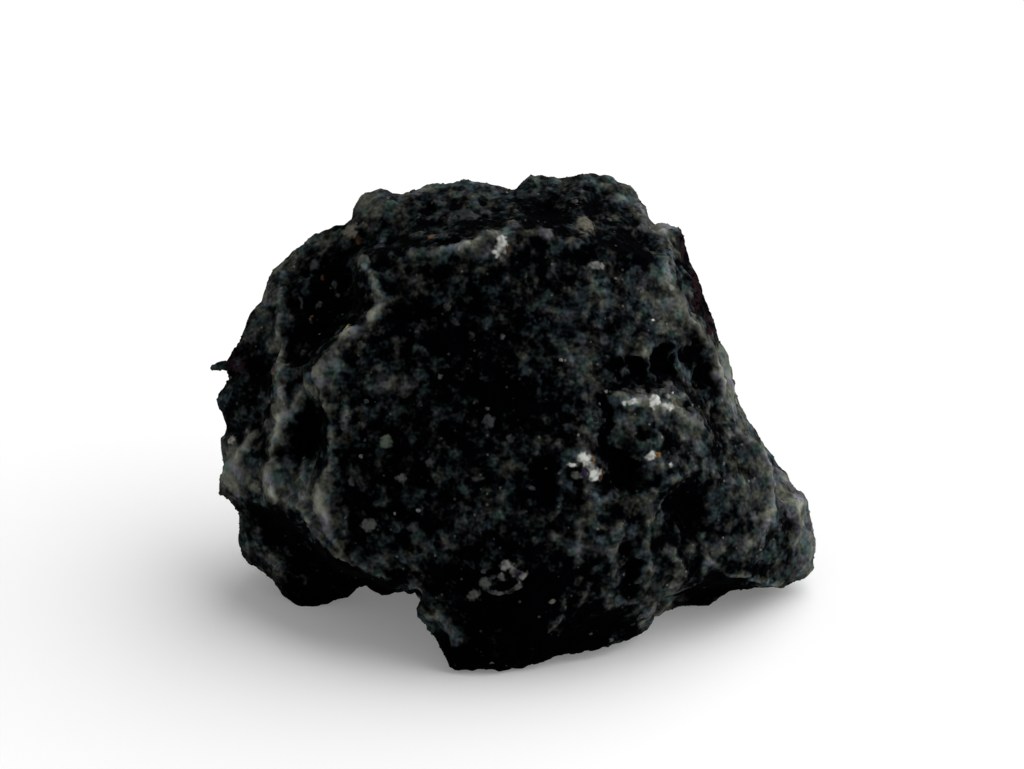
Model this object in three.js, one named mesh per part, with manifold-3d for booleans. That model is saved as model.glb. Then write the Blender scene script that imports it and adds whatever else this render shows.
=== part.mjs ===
// A carbonaceous chondrite meteorite: one broken, charcoal-dark stone about 40 mm wide, in millimetres.
// +Z is up. The stone stands on the worn flat spots of its feet, and the origin is on that surface,
// under the middle of the stone's box. +X is to the right of someone who looks at its broad front face.
import * as THREE from 'three';
import { ImprovedNoise } from 'three/addons/math/ImprovedNoise.js';
import { mergeVertices } from 'three/addons/utils/BufferGeometryUtils.js';
import Module from 'manifold-3d';

// Driving sizes.
const CORE_HEIGHT = 12.4; // from the ground up to the core, the point that the skin is drawn round
const FRONT_TILT = THREE.MathUtils.degToRad(22); // the front's landmarks are read looking down by this much
const FRONT_DISTANCE = 379; // and from this far in front of the core, so what is near is read a little large
const SKIN_DETAIL = 19; // the skin starts as an icosahedron with each edge parted into 20
const CORNER_ROUNDING = 0.05; // how much the skin rounds off each landmark, as a share of its radius
const SKIN_GIVE = 0.01; // how freely the skin passes beside a landmark that would crease it
const LUMP_SIZE = 3.4; // breadth of the natural lumps that cover the stone
const LUMP_RISE_SEEN = 0.2; // their rise on the front, which has its own lines and hollows
const LUMP_RISE_HIDDEN = 1.3; // their rise on the back and underside
const GRAIN_SIZE = 1.7;
const GRAIN_RISE = 0.15;
const SPLINTER = { root: [-17.8, 4.0, -2.9], tip: [-20.5, 3.45, -2.5], radius: 0.2, tipRadius: 0.27 };

// Landmarks of the outline and of the front, each [right, up, near] in the tilted front view from the core.
const OUTLINE = [
  // left side, from the low nub up
  [-19.9, -4.1, -2.0], [-19.2, -2.4, -2.8], [-19.3, -0.8, -3.0], [-19.4, 0.9, -2.8], [-20.1, 1.5, -2.6],
  [-19.2, 2.7, -2.8], [-19.6, 4.6, -2.8], [-18.4, 5.6, -3.2], [-17.7, 6.4, -3.4], [-18.5, 7.0, -3.0],
  [-17.5, 7.3, -3.4], [-16.9, 8.1, -3.6], [-16.4, 9.2, -3.8], [-16.1, 10.1, -4.0], [-15.6, 10.9, -4.2],
  [-14.5, 11.6, -4.4], [-13.7, 12.1, -4.4], [-12.8, 12.7, -4.4], [-12.0, 13.2, -4.4], [-11.1, 13.4, -4.6],
  // top crest, left to right
  [-10.9, 14.3, -4.8], [-10.3, 15.3, -5.0], [-9.4, 15.5, -5.2], [-7.6, 15.3, -5.4], [-6.1, 15.7, -5.4],
  [-5.1, 15.8, -5.4], [-3.5, 16.2, -5.4], [-2.1, 15.9, -5.4], [-0.7, 15.4, -5.2], [0.2, 15.9, -5.4],
  [1.4, 16.5, -5.5], [3.1, 16.2, -5.4], [5.0, 16.7, -5.4], [6.1, 16.4, -5.2], [7.1, 16.0, -5.0],
  // right side, from the crest down to the low corner
  [7.7, 15.4, -5.0], [8.5, 14.4, -5.0], [9.5, 13.3, -4.6], [10.6, 13.1, -4.4], [11.1, 12.4, -4.2],
  [11.6, 10.6, -3.6], [12.4, 8.9, -2.9], [13.0, 6.9, -2.4], [13.6, 5.1, -2.2], [14.2, 4.7, -2.4],
  [14.8, 2.7, -2.2], [15.1, 1.1, -1.8], [15.6, -0.3, -2.8], [17.0, -1.9, -2.8], [17.7, -3.1, -2.8],
  [18.7, -4.3, -3.2], [19.3, -5.2, -3.8], [19.8, -6.7, -3.9], [19.9, -8.0, -4.4], [19.8, -9.3, -4.8],
  [19.8, -10.6, -4.8], [18.9, -10.6, -4.8],
  // the right foot and the rise to the front foot
  [17.7, -11.0, -4.2], [16.2, -11.1, -3.6], [14.9, -11.2, -3.0], [13.7, -11.7, -2.8], [12.9, -12.1, -2.8],
  [11.5, -12.5, -2.7], [10.4, -12.0, -2.4], [9.5, -13.0, -0.4], [8.3, -14.1, 2.4], [7.0, -14.7, 4.2],
  // the front foot
  [5.2, -15.1, 5.0], [3.3, -15.5, 6.0], [1.3, -16.3, 7.4], [0.2, -16.4, 7.8], [-2.1, -16.5, 8.0],
  [-3.5, -16.7, 8.2], [-4.3, -16.4, 7.8], [-4.7, -15.7, 7.6], [-5.3, -14.5, 7.6], [-5.9, -13.4, 7.4],
  [-6.5, -12.3, 7.0], [-6.7, -11.7, 6.4], [-7.2, -11.0, 5.2],
  // the arch between the feet, and the left foot
  [-8.1, -11.4, 3.8], [-8.7, -11.8, 3.0], [-10.0, -11.1, 0.8], [-10.9, -11.4, -0.8], [-12.0, -11.7, -1.8],
  [-12.8, -12.1, -2.2], [-13.5, -12.4, -2.4], [-14.8, -12.1, -2.8], [-15.9, -11.5, -3.0],
  [-16.5, -10.6, -3.2], [-17.3, -9.7, -3.4], [-18.3, -8.9, -3.2], [-18.7, -8.1, -3.0], [-18.3, -6.8, -3.0],
  [-18.7, -5.8, -2.8], [-19.5, -4.9, -2.2],
];
const TOP_SHELF = [
  [-9.1, 14.0, -1.6], [-5.8, 14.5, -1.8], [-2.5, 14.9, -2.2], [0.9, 15.0, -2.4], [4.2, 15.4, -2.8],
  [6.9, 14.6, -2.6], [-7.8, 12.4, 1.4], [-4.0, 13.5, 1.2], [0.0, 13.9, 0.8], [4.0, 14.1, 0.6],
  [7.4, 13.0, 0.6],
];
const BROW = [
  [-10.4, 10.9, 3.6], [-7.8, 10.6, 5.8], [-5.8, 11.1, 6.6], [-3.8, 11.7, 6.9], [-1.3, 12.1, 6.9],
  [0.9, 12.6, 6.6], [2.9, 12.3, 6.7], [4.9, 11.9, 6.4], [6.9, 11.1, 5.8], [8.5, 10.6, 4.6], [10.1, 10.1, 2.2],
];
const FRONT_FACE = [
  [-5.8, 8.3, 7.8], [-2.5, 8.7, 8.4], [0.9, 9.0, 8.4], [4.2, 9.0, 8.0], [7.5, 8.7, 6.6], [10.1, 8.0, 4.4],
  [-6.5, 5.1, 9.0], [-2.5, 5.0, 9.8], [1.5, 5.1, 10.0], [5.5, 5.1, 9.5], [8.9, 5.1, 7.9], [11.5, 5.1, 4.6],
  [-9.1, 1.4, 9.2], [-5.1, 1.4, 10.6], [-1.1, 1.4, 11.0], [2.5, 1.4, 11.4], [5.5, 2.0, 10.3],
  [-8.5, -1.9, 9.9], [-4.5, -1.9, 11.3], [-0.5, -2.6, 11.7], [3.5, -1.9, 11.9],
  [-8.8, -5.3, 10.2], [-5.1, -5.3, 11.6], [-1.1, -5.9, 12.0], [2.9, -5.3, 12.0],
  [-9.1, -8.6, 9.4], [-5.8, -8.6, 11.0], [-1.8, -8.9, 11.8], [2.2, -8.6, 11.8],
];
const RIGHT_BULGE_AND_LOBE = [
  [8.2, 2.6, 8.4], [10.2, 2.8, 7.0], [12.2, 2.4, 4.6], [6.9, -0.6, 10.8], [9.5, -0.6, 10.2],
  [12.2, -0.6, 7.4],
  [14.2, -0.6, 3.4], [6.5, -3.0, 10.8], [9.5, -3.5, 10.2], [12.5, -3.5, 7.6], [15.2, -3.5, 3.2],
  [6.2, -4.6, 11.4], [8.9, -5.2, 10.2], [11.5, -5.7, 6.8], [14.2, -5.4, 5.6], [16.5, -5.4, 2.2],
  [5.5, -8.3, 11.4], [8.2, -7.9, 10.2], [11.5, -8.3, 7.2], [14.2, -7.9, 5.0], [17.2, -7.9, 1.8],
  [12.2, -9.6, 5.6], [14.9, -10.1, 3.2], [17.5, -9.9, 0.4], [11.5, -11.4, -0.8], [14.4, -10.9, -0.6],
];
const FRONT_FOOT = [
  [-5.1, -11.9, 9.4], [-3.1, -13.3, 9.8], [0.2, -12.6, 10.6], [3.5, -11.9, 10.2], [6.9, -11.3, 9.4],
  [9.9, -10.3, 7.6], [-1.1, -15.3, 8.8], [2.9, -14.3, 8.2], [6.2, -13.3, 7.2], [9.4, -12.0, 5.0],
];
const LEFT_RIDGE = [
  [-10.2, 10.7, 4.0], [-9.8, 9.1, 5.4], [-9.1, 8.0, 6.4], [-9.8, 6.7, 6.7], [-11.3, 5.6, 6.5],
  [-12.4, 4.7, 6.2], [-13.1, 3.3, 6.0], [-13.0, 1.9, 6.4], [-12.3, 0.5, 7.0], [-12.4, -0.9, 7.0],
  [-12.3, -2.8, 7.0], [-13.1, -4.1, 6.6], [-13.1, -5.5, 6.6], [-12.3, -7.5, 6.8], [-11.1, -9.2, 7.2],
];
const LEFT_FLANK = [
  // foot of the left ridge's wall, and the floor of the upper pocket
  [-11.2, 10.4, 0.0], [-11.0, 8.6, 1.2], [-11.4, 7.2, 1.8], [-12.6, 6.0, 2.2], [-13.8, 4.4, 2.6],
  [-12.8, 10.2, -1.2], [-13.2, 8.6, -0.8], [-13.8, 7.0, -0.2], [-14.4, 5.2, 0.6],
  // the outer rib
  [-15.0, 9.2, -0.8], [-15.6, 7.4, 0.2], [-15.8, 6.0, 1.2], [-15.7, 3.0, 2.8], [-15.6, 0.7, 3.6],
  [-16.3, -1.9, 3.4], [-16.5, -3.7, 3.2], [-16.0, -5.3, 3.2],
  // between the rib and the outline, and the lower pocket
  [-17.3, 4.7, -1.2], [-17.8, 2.4, -0.6], [-17.9, -0.6, 0.0], [-18.4, -3.0, 0.2], [-14.1, 2.1, 4.2],
  [-14.1, 0.8, 3.9], [-14.0, -0.8, 3.9], [-14.3, -2.5, 4.2], [-14.7, -4.2, 4.8], [-14.6, -5.2, 5.0],
];
const LEFT_OVERHANG_AND_FOOT = [
  // lower edge of the flank
  [-18.4, -4.9, -0.6], [-17.1, -5.3, 1.4], [-16.0, -5.8, 2.8], [-15.4, -5.2, 4.0], [-14.3, -6.0, 5.2],
  [-13.3, -7.5, 6.0], [-11.7, -9.0, 6.9], [-10.3, -9.6, 7.5], [-8.5, -10.3, 7.9], [-6.9, -11.1, 8.0],
  // the corner far back under it, then the front of the left foot
  [-16.3, -6.8, 0.8], [-14.7, -7.5, 1.6], [-13.3, -8.8, 2.2], [-11.7, -10.0, 3.0], [-9.8, -10.7, 4.2],
  [-17.5, -8.2, -1.6], [-16.1, -10.0, -1.6], [-14.5, -10.8, -1.2], [-12.5, -10.8, 0.0],
];

// Landmarks of the sides that the front view can't see, each [x, y, z] standing on the ground.
const LEFT_BACK = [
  [-19.0, 4.5, 9.0], [-18.6, 4.2, 5.4], [-17.6, 1.6, 1.6], [-17.2, 4.4, 1.4], [-18.4, 6.0, 12.0],
  [-17.0, 7.6, 15.0],
];
const BACK = [
  [-10, 11.5, 21.0], [-4, 12.8, 21.5], [2, 13.2, 22.0], [7, 12.0, 21.5], [10.6, 9.8, 19.4],
  [-14.8, 10.4, 16.6], [-9, 12.8, 16.0], [-3, 13.6, 16.5], [3, 13.2, 16.0], [8.5, 12.8, 15.5],
  [12.4, 9.8, 14.5], [-17.8, 8.6, 10.5], [-13, 11.4, 11.0], [-7, 12.6, 11.0], [-1, 13.9, 10.5],
  [5, 13.2, 10.0], [10.8, 12.0, 9.5], [15.2, 8.6, 8.0], [18.6, 5.5, 5.0], [-17.6, 7.4, 5.6],
  [-14.4, 10.0, 5.5], [-8, 11.4, 5.5], [-2, 12.2, 5.0], [4, 12.2, 4.6], [10, 11.0, 4.2], [16.4, 8.0, 3.2],
];
const UNDERSIDE = [
  [-14, 5.0, 1.8], [-9, 7.0, 1.6], [-3, 8.8, 0.6], [1.5, 8.6, -0.5], [5, 8.4, 0.1], [9, 7.0, 1.0],
  [13, 5.0, 1.2], [17.2, 4.0, 1.0], [-13.6, -2.4, -0.9], [-11, -2.2, 1.7], [-9, 0.0, 2.0],
  [-4, 2.0, 1.6], [1, 3.0, 1.2], [6, 2.0, 1.4], [9, -0.5, 1.4], [12.2, -2.2, -0.9], [10, -4.4, 1.9],
  [9, -7.0, 2.8], [-10, -4.6, 3.2], [-8, -6.4, 3.8], [-6.8, -8.2, 4.4], [-3, -4.0, 2.4], [2, -4.0, 1.8],
  [6, -5.4, 1.8], [-4.4, -8.6, 1.6], [1, -9.0, 0.9], [4.6, -9.0, 1.3], [-2.5, -12.0, -0.8],
  [0.3, -11.4, -0.6], [3, -10.2, 0.3],
];

// Crests (rise above 0) and grooves (below 0) of the front, along lines of [right, up] points.
const FRONT_LINES = [
  // the brow, and the left ridge with its hook at the top
  { rise: 0.4, width: 0.8, line: [[-8.0, 10.7], [-5.8, 11.1], [-3.8, 11.7], [-1.3, 12.2], [0.9, 12.6],
    [4.0, 12.1], [6.9, 11.1], [9.0, 10.4]] },
  { rise: 0.5, width: 0.65, line: [[-10.2, 10.7], [-9.8, 9.1], [-9.1, 8.0], [-9.8, 6.7], [-11.3, 5.6],
    [-12.4, 4.7], [-13.1, 3.3]] },
  { rise: 0.5, width: 0.65, line: [[-13.1, 3.3], [-13.0, 1.9], [-12.3, 0.5], [-12.4, -0.9], [-12.3, -2.8],
    [-13.1, -4.1], [-13.1, -5.5]] },
  { rise: 0.35, width: 0.6, line: [[-12.3, 4.1], [-11.3, 0.5], [-11.9, -1.4]] },
  { rise: 0.35, width: 0.55, line: [[-13.1, -5.5], [-12.3, -7.5], [-11.1, -9.2]] },
  // ribs of the left flank, its lower edge and the rib of the left foot
  { rise: 0.45, width: 0.6, line: [[-15.8, 7.4], [-15.8, 6.0], [-15.6, 3.0], [-15.6, 0.7], [-16.3, -1.9],
    [-16.5, -3.7], [-16.0, -5.3]] },
  { rise: 0.4, width: 0.55, line: [[-13.9, 3.1], [-14.8, 1.1], [-15.6, 0.0]] },
  { rise: 0.35, width: 0.55, line: [[-17.7, -0.8], [-18.4, -2.1], [-18.8, -3.0]] },
  { rise: 0.45, width: 0.6, line: [[-15.4, -5.1], [-14.3, -6.0], [-13.3, -7.5], [-11.7, -9.0], [-10.3, -9.6],
    [-7.5, -10.7]] },
  { rise: 0.35, width: 0.6, line: [[-17.5, -7.4], [-16.5, -8.5], [-16.0, -10.2]] },
  { rise: -0.3, width: 0.6, line: [[-14.0, 1.2], [-13.9, -0.6], [-14.1, -2.6]] },
  { rise: -0.35, width: 0.5, line: [[-15.0, -2.2], [-15.2, -3.8], [-14.8, -5.0]] },
  { rise: -0.4, width: 0.5, line: [[-17.2, 1.4], [-17.0, -1.0], [-17.4, -3.6]] },
  // the right edge with its side groove, and the lip and bulge under the row of pits
  { rise: 0.35, width: 0.6, line: [[9.8, 12.9], [10.2, 9.3], [11.0, 7.6], [11.8, 5.9], [13.0, 4.6],
    [13.8, 2.4]] },
  { rise: -0.35, width: 0.5, line: [[10.8, 12.2], [11.0, 9.8], [11.9, 7.6], [12.8, 5.8]] },
  { rise: 0.45, width: 0.8, line: [[6.6, 0.9], [8.6, 1.4], [10.4, 1.5], [11.6, 0.6]] },
  { rise: 0.4, width: 0.8, line: [[4.8, -5.4], [6.6, -4.8], [8.7, -4.6], [10.3, -4.0], [11.4, -2.9]] },
  // folds of the right lobe
  { rise: 0.4, width: 0.7, line: [[15.3, -0.9], [16.5, -2.6], [17.1, -4.9], [16.7, -6.8], [15.9, -8.1],
    [15.1, -8.7]] },
  { rise: -0.2, width: 0.6, line: [[17.4, -3.4], [18.2, -5.4], [17.8, -7.6]] },
  { rise: 0.45, width: 0.65, line: [[9.8, -8.6], [10.9, -9.2], [11.0, -10.7], [10.4, -12.1]] },
  { rise: 0.35, width: 0.6, line: [[12.8, -9.1], [12.1, -10.6], [11.2, -11.3]] },
  { rise: 0.4, width: 0.6, line: [[12.8, -9.2], [13.9, -9.9], [15.9, -10.6], [17.7, -10.9]] },
  { rise: -0.35, width: 0.55, line: [[11.4, -8.6], [11.7, -9.6], [11.7, -10.6]] },
  // two upright slots, and the turn from the front to the underside
  { rise: -0.7, width: 0.7, line: [[7.0, -1.6], [7.2, -3.0], [7.4, -4.2]] },
  { rise: -0.6, width: 0.6, line: [[7.1, -8.4], [7.3, -9.6], [7.4, -11.0]] },
  { rise: 0.35, width: 0.6, line: [[6.3, -6.8], [6.4, -8.6], [6.2, -10.6]] },
  { rise: 0.3, width: 0.9, line: [[-5.6, -9.3], [-3.0, -8.9], [0.0, -9.2], [3.0, -9.0]] },
];
// Pits (depth above 0) and knobs (below 0) of the front: [right, up, radius, depth].
const FRONT_PITS = [
  [6.4, 3.2, 0.9, 0.6], [8.0, 3.2, 0.8, 0.6], [9.8, 3.9, 0.9, 0.7], [12.2, 2.9, 0.9, 0.7],
  [11.7, 4.2, 0.7, 0.5], [10.7, -6.2, 1.5, 0.8], [-1.0, 3.4, 2.2, 0.4], [-9.2, 14.6, 1.0, -0.4],
  [-8.6, 12.6, 0.9, 0.5], [-3.2, 14.4, 0.9, -0.4], [-5.6, 13.4, 0.9, 0.5], [-1.6, 13.6, 0.8, 0.4],
  [2.0, 14.0, 0.9, 0.5],
  [4.4, 15.0, 1.0, -0.4], [5.4, 13.2, 0.9, 0.5], [7.6, 12.6, 0.9, 0.5], [9.4, 11.8, 0.8, 0.4],
  [-11.3, 4.6, 0.6, -0.3], [-19.0, -4.2, 0.9, -0.4], [-19.0, 1.4, 0.5, -0.4], [-17.4, 6.9, 0.5, -0.4],
];

const CORE = new THREE.Vector3(0, 0, CORE_HEIGHT);
const RIGHTWARD = new THREE.Vector3(1, 0, 0);
const STAND_UP = new THREE.Quaternion().setFromAxisAngle(RIGHTWARD, Math.PI / 2 - FRONT_TILT);
const LEAN_BACK = STAND_UP.clone().invert();

// A point read in the tilted front view, from the core, as a point that stands on the ground.
function fromFront([right, up, near]) {
  const share = 1 - near / FRONT_DISTANCE;
  return new THREE.Vector3(right * share, up * share, near).applyQuaternion(STAND_UP).add(CORE);
}

// The way back: where a point that stands on the ground is read in the front view.
function toFront(point) {
  const view = point.clone().sub(CORE).applyQuaternion(LEAN_BACK);
  const share = 1 - view.z / FRONT_DISTANCE;
  return new THREE.Vector3(view.x / share, view.y / share, view.z);
}

// Solves rows * weights = values by elimination, with the largest pivot first.
function solve(rows, values) {
  const size = rows.length;
  const table = rows.map((row, i) => [...row, values[i]]);
  for (let column = 0; column < size; column++) {
    let pivot = column;
    for (let i = column + 1; i < size; i++) {
      if (Math.abs(table[i][column]) > Math.abs(table[pivot][column])) pivot = i;
    }
    [table[column], table[pivot]] = [table[pivot], table[column]];
    for (let i = column + 1; i < size; i++) {
      const share = table[i][column] / table[column][column];
      for (let j = column; j <= size; j++) table[i][j] -= share * table[column][j];
    }
  }
  const weights = new Array(size).fill(0);
  for (let i = size - 1; i >= 0; i--) {
    const known = weights.reduce((sum, weight, j) => sum + weight * table[i][j], 0);
    weights[i] = (table[i][size] - known) / table[i][i];
  }
  return weights;
}

// The skin: how far it lies from the core in any direction, drawn taut through every landmark.
function tautSkin(landmarks) {
  const arms = landmarks.map((point) => point.clone().sub(CORE));
  const radii = arms.map((arm) => arm.length());
  const ways = arms.map((arm) => arm.normalize());
  const pull = (a, b) => Math.sqrt(a.distanceToSquared(b) + CORNER_ROUNDING ** 2);
  const rows = ways.map((a) => [...ways.map((b) => pull(a, b) - (a === b ? SKIN_GIVE : 0)), 1]);
  rows.push([...ways.map(() => 1), 0]);
  const weights = solve(rows, [...radii, 0]);
  const level = weights[weights.length - 1];
  return (way) => ways.reduce((sum, b, i) => sum + weights[i] * pull(way, b), level);
}

// Distance from a point of the front view to a line of points.
function distanceToLine(right, up, line) {
  let least = Infinity;
  for (let i = 0; i + 1 < line.length; i++) {
    const [x, y] = line[i];
    const [dx, dy] = [line[i + 1][0] - x, line[i + 1][1] - y];
    const along = THREE.MathUtils.clamp(((right - x) * dx + (up - y) * dy) / (dx * dx + dy * dy), 0, 1);
    least = Math.min(least, Math.hypot(right - x - along * dx, up - y - along * dy));
  }
  return least;
}

// How much the lines and pits of the front raise the skin at a point of the front view.
function frontRelief(right, up) {
  let rise = 0;
  for (const { rise: height, width, line } of FRONT_LINES) {
    rise += height * Math.exp(-((distanceToLine(right, up, line) / width) ** 2));
  }
  for (const [x, y, radius, depth] of FRONT_PITS) {
    rise -= depth * Math.exp(-(((right - x) ** 2 + (up - y) ** 2) / radius ** 2));
  }
  return rise;
}

// Natural lumps and grains, the same on every build, less strong where the landmarks are close together.
function lumps(point, hidden) {
  const noise = new ImprovedNoise();
  const at = (size) => noise.noise(point.x / size + 7.3, point.y / size + 1.9, point.z / size + 4.6);
  const lumpRise = THREE.MathUtils.lerp(LUMP_RISE_SEEN, LUMP_RISE_HIDDEN, hidden);
  return lumpRise * at(LUMP_SIZE) + GRAIN_RISE * at(GRAIN_SIZE);
}

// The whole skin as one closed mesh: taut skin, then lines, pits and lumps along its normals, then flat feet.
function stoneGeometry() {
  const seenPoints = [
    OUTLINE, TOP_SHELF, BROW, FRONT_FACE, RIGHT_BULGE_AND_LOBE, FRONT_FOOT, LEFT_RIDGE, LEFT_FLANK,
    LEFT_OVERHANG_AND_FOOT,
  ].flat().map(fromFront);
  const hiddenPoints = [LEFT_BACK, BACK, UNDERSIDE].flat().map((point) => new THREE.Vector3(...point));
  const skin = tautSkin([...seenPoints, ...hiddenPoints]);

  let geometry = new THREE.IcosahedronGeometry(1, SKIN_DETAIL);
  geometry.deleteAttribute('normal');
  geometry.deleteAttribute('uv');
  geometry = mergeVertices(geometry, 1e-5);
  const position = geometry.getAttribute('position');
  const point = new THREE.Vector3();
  for (let i = 0; i < position.count; i++) {
    point.fromBufferAttribute(position, i).normalize();
    point.multiplyScalar(skin(point)).add(CORE);
    position.setXYZ(i, point.x, point.y, point.z);
  }

  geometry.computeVertexNormals();
  const normals = geometry.getAttribute('normal');
  const normal = new THREE.Vector3();
  for (let i = 0; i < position.count; i++) {
    point.fromBufferAttribute(position, i);
    normal.fromBufferAttribute(normals, i);
    const view = toFront(point);
    const facing = normal.clone().applyQuaternion(LEAN_BACK).z;
    const seen = THREE.MathUtils.smoothstep(facing, -0.05, 0.35);
    const hidden = THREE.MathUtils.smoothstep(-facing, 0.15, 0.6);
    const rise = seen * frontRelief(view.x, view.y) + lumps(point, hidden);
    point.addScaledVector(normal, rise).sub(CORE);
    if (point.z < -CORE_HEIGHT) point.multiplyScalar(-CORE_HEIGHT / point.z);
    position.setXYZ(i, point.x, point.y, point.z + CORE_HEIGHT);
  }
  geometry.deleteAttribute('normal');
  return geometry;
}

// A hair-thin splinter with a rounded tip, turned on the lathe and laid from its root to its tip.
function splinterGeometry() {
  const root = fromFront(SPLINTER.root);
  const tip = fromFront(SPLINTER.tip);
  const length = root.distanceTo(tip);
  const { radius, tipRadius } = SPLINTER;
  const profile = [
    [0, 0], [radius * 1.6, 0], [radius, length * 0.5], [tipRadius, length * 0.85],
    [tipRadius * 0.8, length * 0.93], [0, length],
  ].map(([r, y]) => new THREE.Vector2(r, y));
  const geometry = new THREE.LatheGeometry(profile, 10);
  geometry.applyQuaternion(
    new THREE.Quaternion().setFromUnitVectors(new THREE.Vector3(0, 1, 0), tip.clone().sub(root).normalize()),
  );
  return geometry.translate(root.x, root.y, root.z);
}

const wasm = await Module();
wasm.setup();

// A closed three.js geometry as a solid that can be joined.
function solidFrom(geometry) {
  const bare = geometry.clone();
  bare.deleteAttribute('normal');
  bare.deleteAttribute('uv');
  const merged = mergeVertices(bare, 1e-4);
  return new wasm.Manifold(
    new wasm.Mesh({
      numProp: 3,
      vertProperties: merged.getAttribute('position').array,
      triVerts: new Uint32Array(merged.index.array),
    }),
  );
}

// A solid as a three.js geometry, flat shaded like a broken stone.
function geometryFrom(solid) {
  const mesh = solid.getMesh();
  const positions = new Float32Array(mesh.numVert * 3);
  for (let i = 0; i < mesh.numVert; i++) {
    positions.set(mesh.vertProperties.subarray(i * mesh.numProp, i * mesh.numProp + 3), i * 3);
  }
  const geometry = new THREE.BufferGeometry()
    .setAttribute('position', new THREE.BufferAttribute(positions, 3))
    .setIndex(new THREE.BufferAttribute(mesh.triVerts, 1));
  geometry.computeVertexNormals();
  return geometry;
}

const geometry = geometryFrom(solidFrom(stoneGeometry()).add(solidFrom(splinterGeometry())));
geometry.computeBoundingBox();
const middle = geometry.boundingBox.getCenter(new THREE.Vector3());
geometry.translate(-middle.x, -middle.y, 0);

const stone = new THREE.Mesh(
  geometry,
  new THREE.MeshStandardMaterial({
    name: 'stone', color: 0x1b1c1e, roughness: 0.9, metalness: 0, flatShading: true,
  }),
);
stone.name = 'stone';

const meteorite = new THREE.Group();
meteorite.add(stone);
export default meteorite;
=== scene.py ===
"""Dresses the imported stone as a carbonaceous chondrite: broken skin, grains, inclusions, floor, light, camera.

Sizes in the settings are real ones. Lengths in the tables of features are millimetres, read in the front view:
(right, up) from the stone's core, as someone sees it who looks down at the front by FRONT_TILT.
"""

import math

import bmesh
import bpy
import numpy as np
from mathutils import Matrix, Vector, noise
from mathutils.bvhtree import BVHTree


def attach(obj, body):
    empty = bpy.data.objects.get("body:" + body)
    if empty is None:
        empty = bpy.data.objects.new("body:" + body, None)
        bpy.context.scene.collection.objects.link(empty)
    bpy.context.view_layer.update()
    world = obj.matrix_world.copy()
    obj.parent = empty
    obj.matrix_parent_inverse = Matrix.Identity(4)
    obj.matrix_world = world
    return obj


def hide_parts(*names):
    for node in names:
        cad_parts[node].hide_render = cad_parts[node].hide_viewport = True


bl_info = {
    "name": "Carbonaceous chondrite",
    "version": (1, 0, 0),
    "blender": (4, 5, 0),
    "location": "View3D > Sidebar > Meteorite",
    "description": "Builds the looks of a broken carbonaceous chondrite round its solid",
    "category": "Object",
}

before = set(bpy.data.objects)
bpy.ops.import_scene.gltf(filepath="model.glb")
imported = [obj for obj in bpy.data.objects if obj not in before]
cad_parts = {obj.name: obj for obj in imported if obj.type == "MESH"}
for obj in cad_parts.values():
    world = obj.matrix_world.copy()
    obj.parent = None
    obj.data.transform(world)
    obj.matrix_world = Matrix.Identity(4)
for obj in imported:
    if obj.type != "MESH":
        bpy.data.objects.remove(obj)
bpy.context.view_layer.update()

MM = 0.001
FRONT_TILT = math.radians(22)
CORE = np.array([0.234, 0.1003, 12.4]) * MM
VIEW_DISTANCE = 379 * MM

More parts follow.
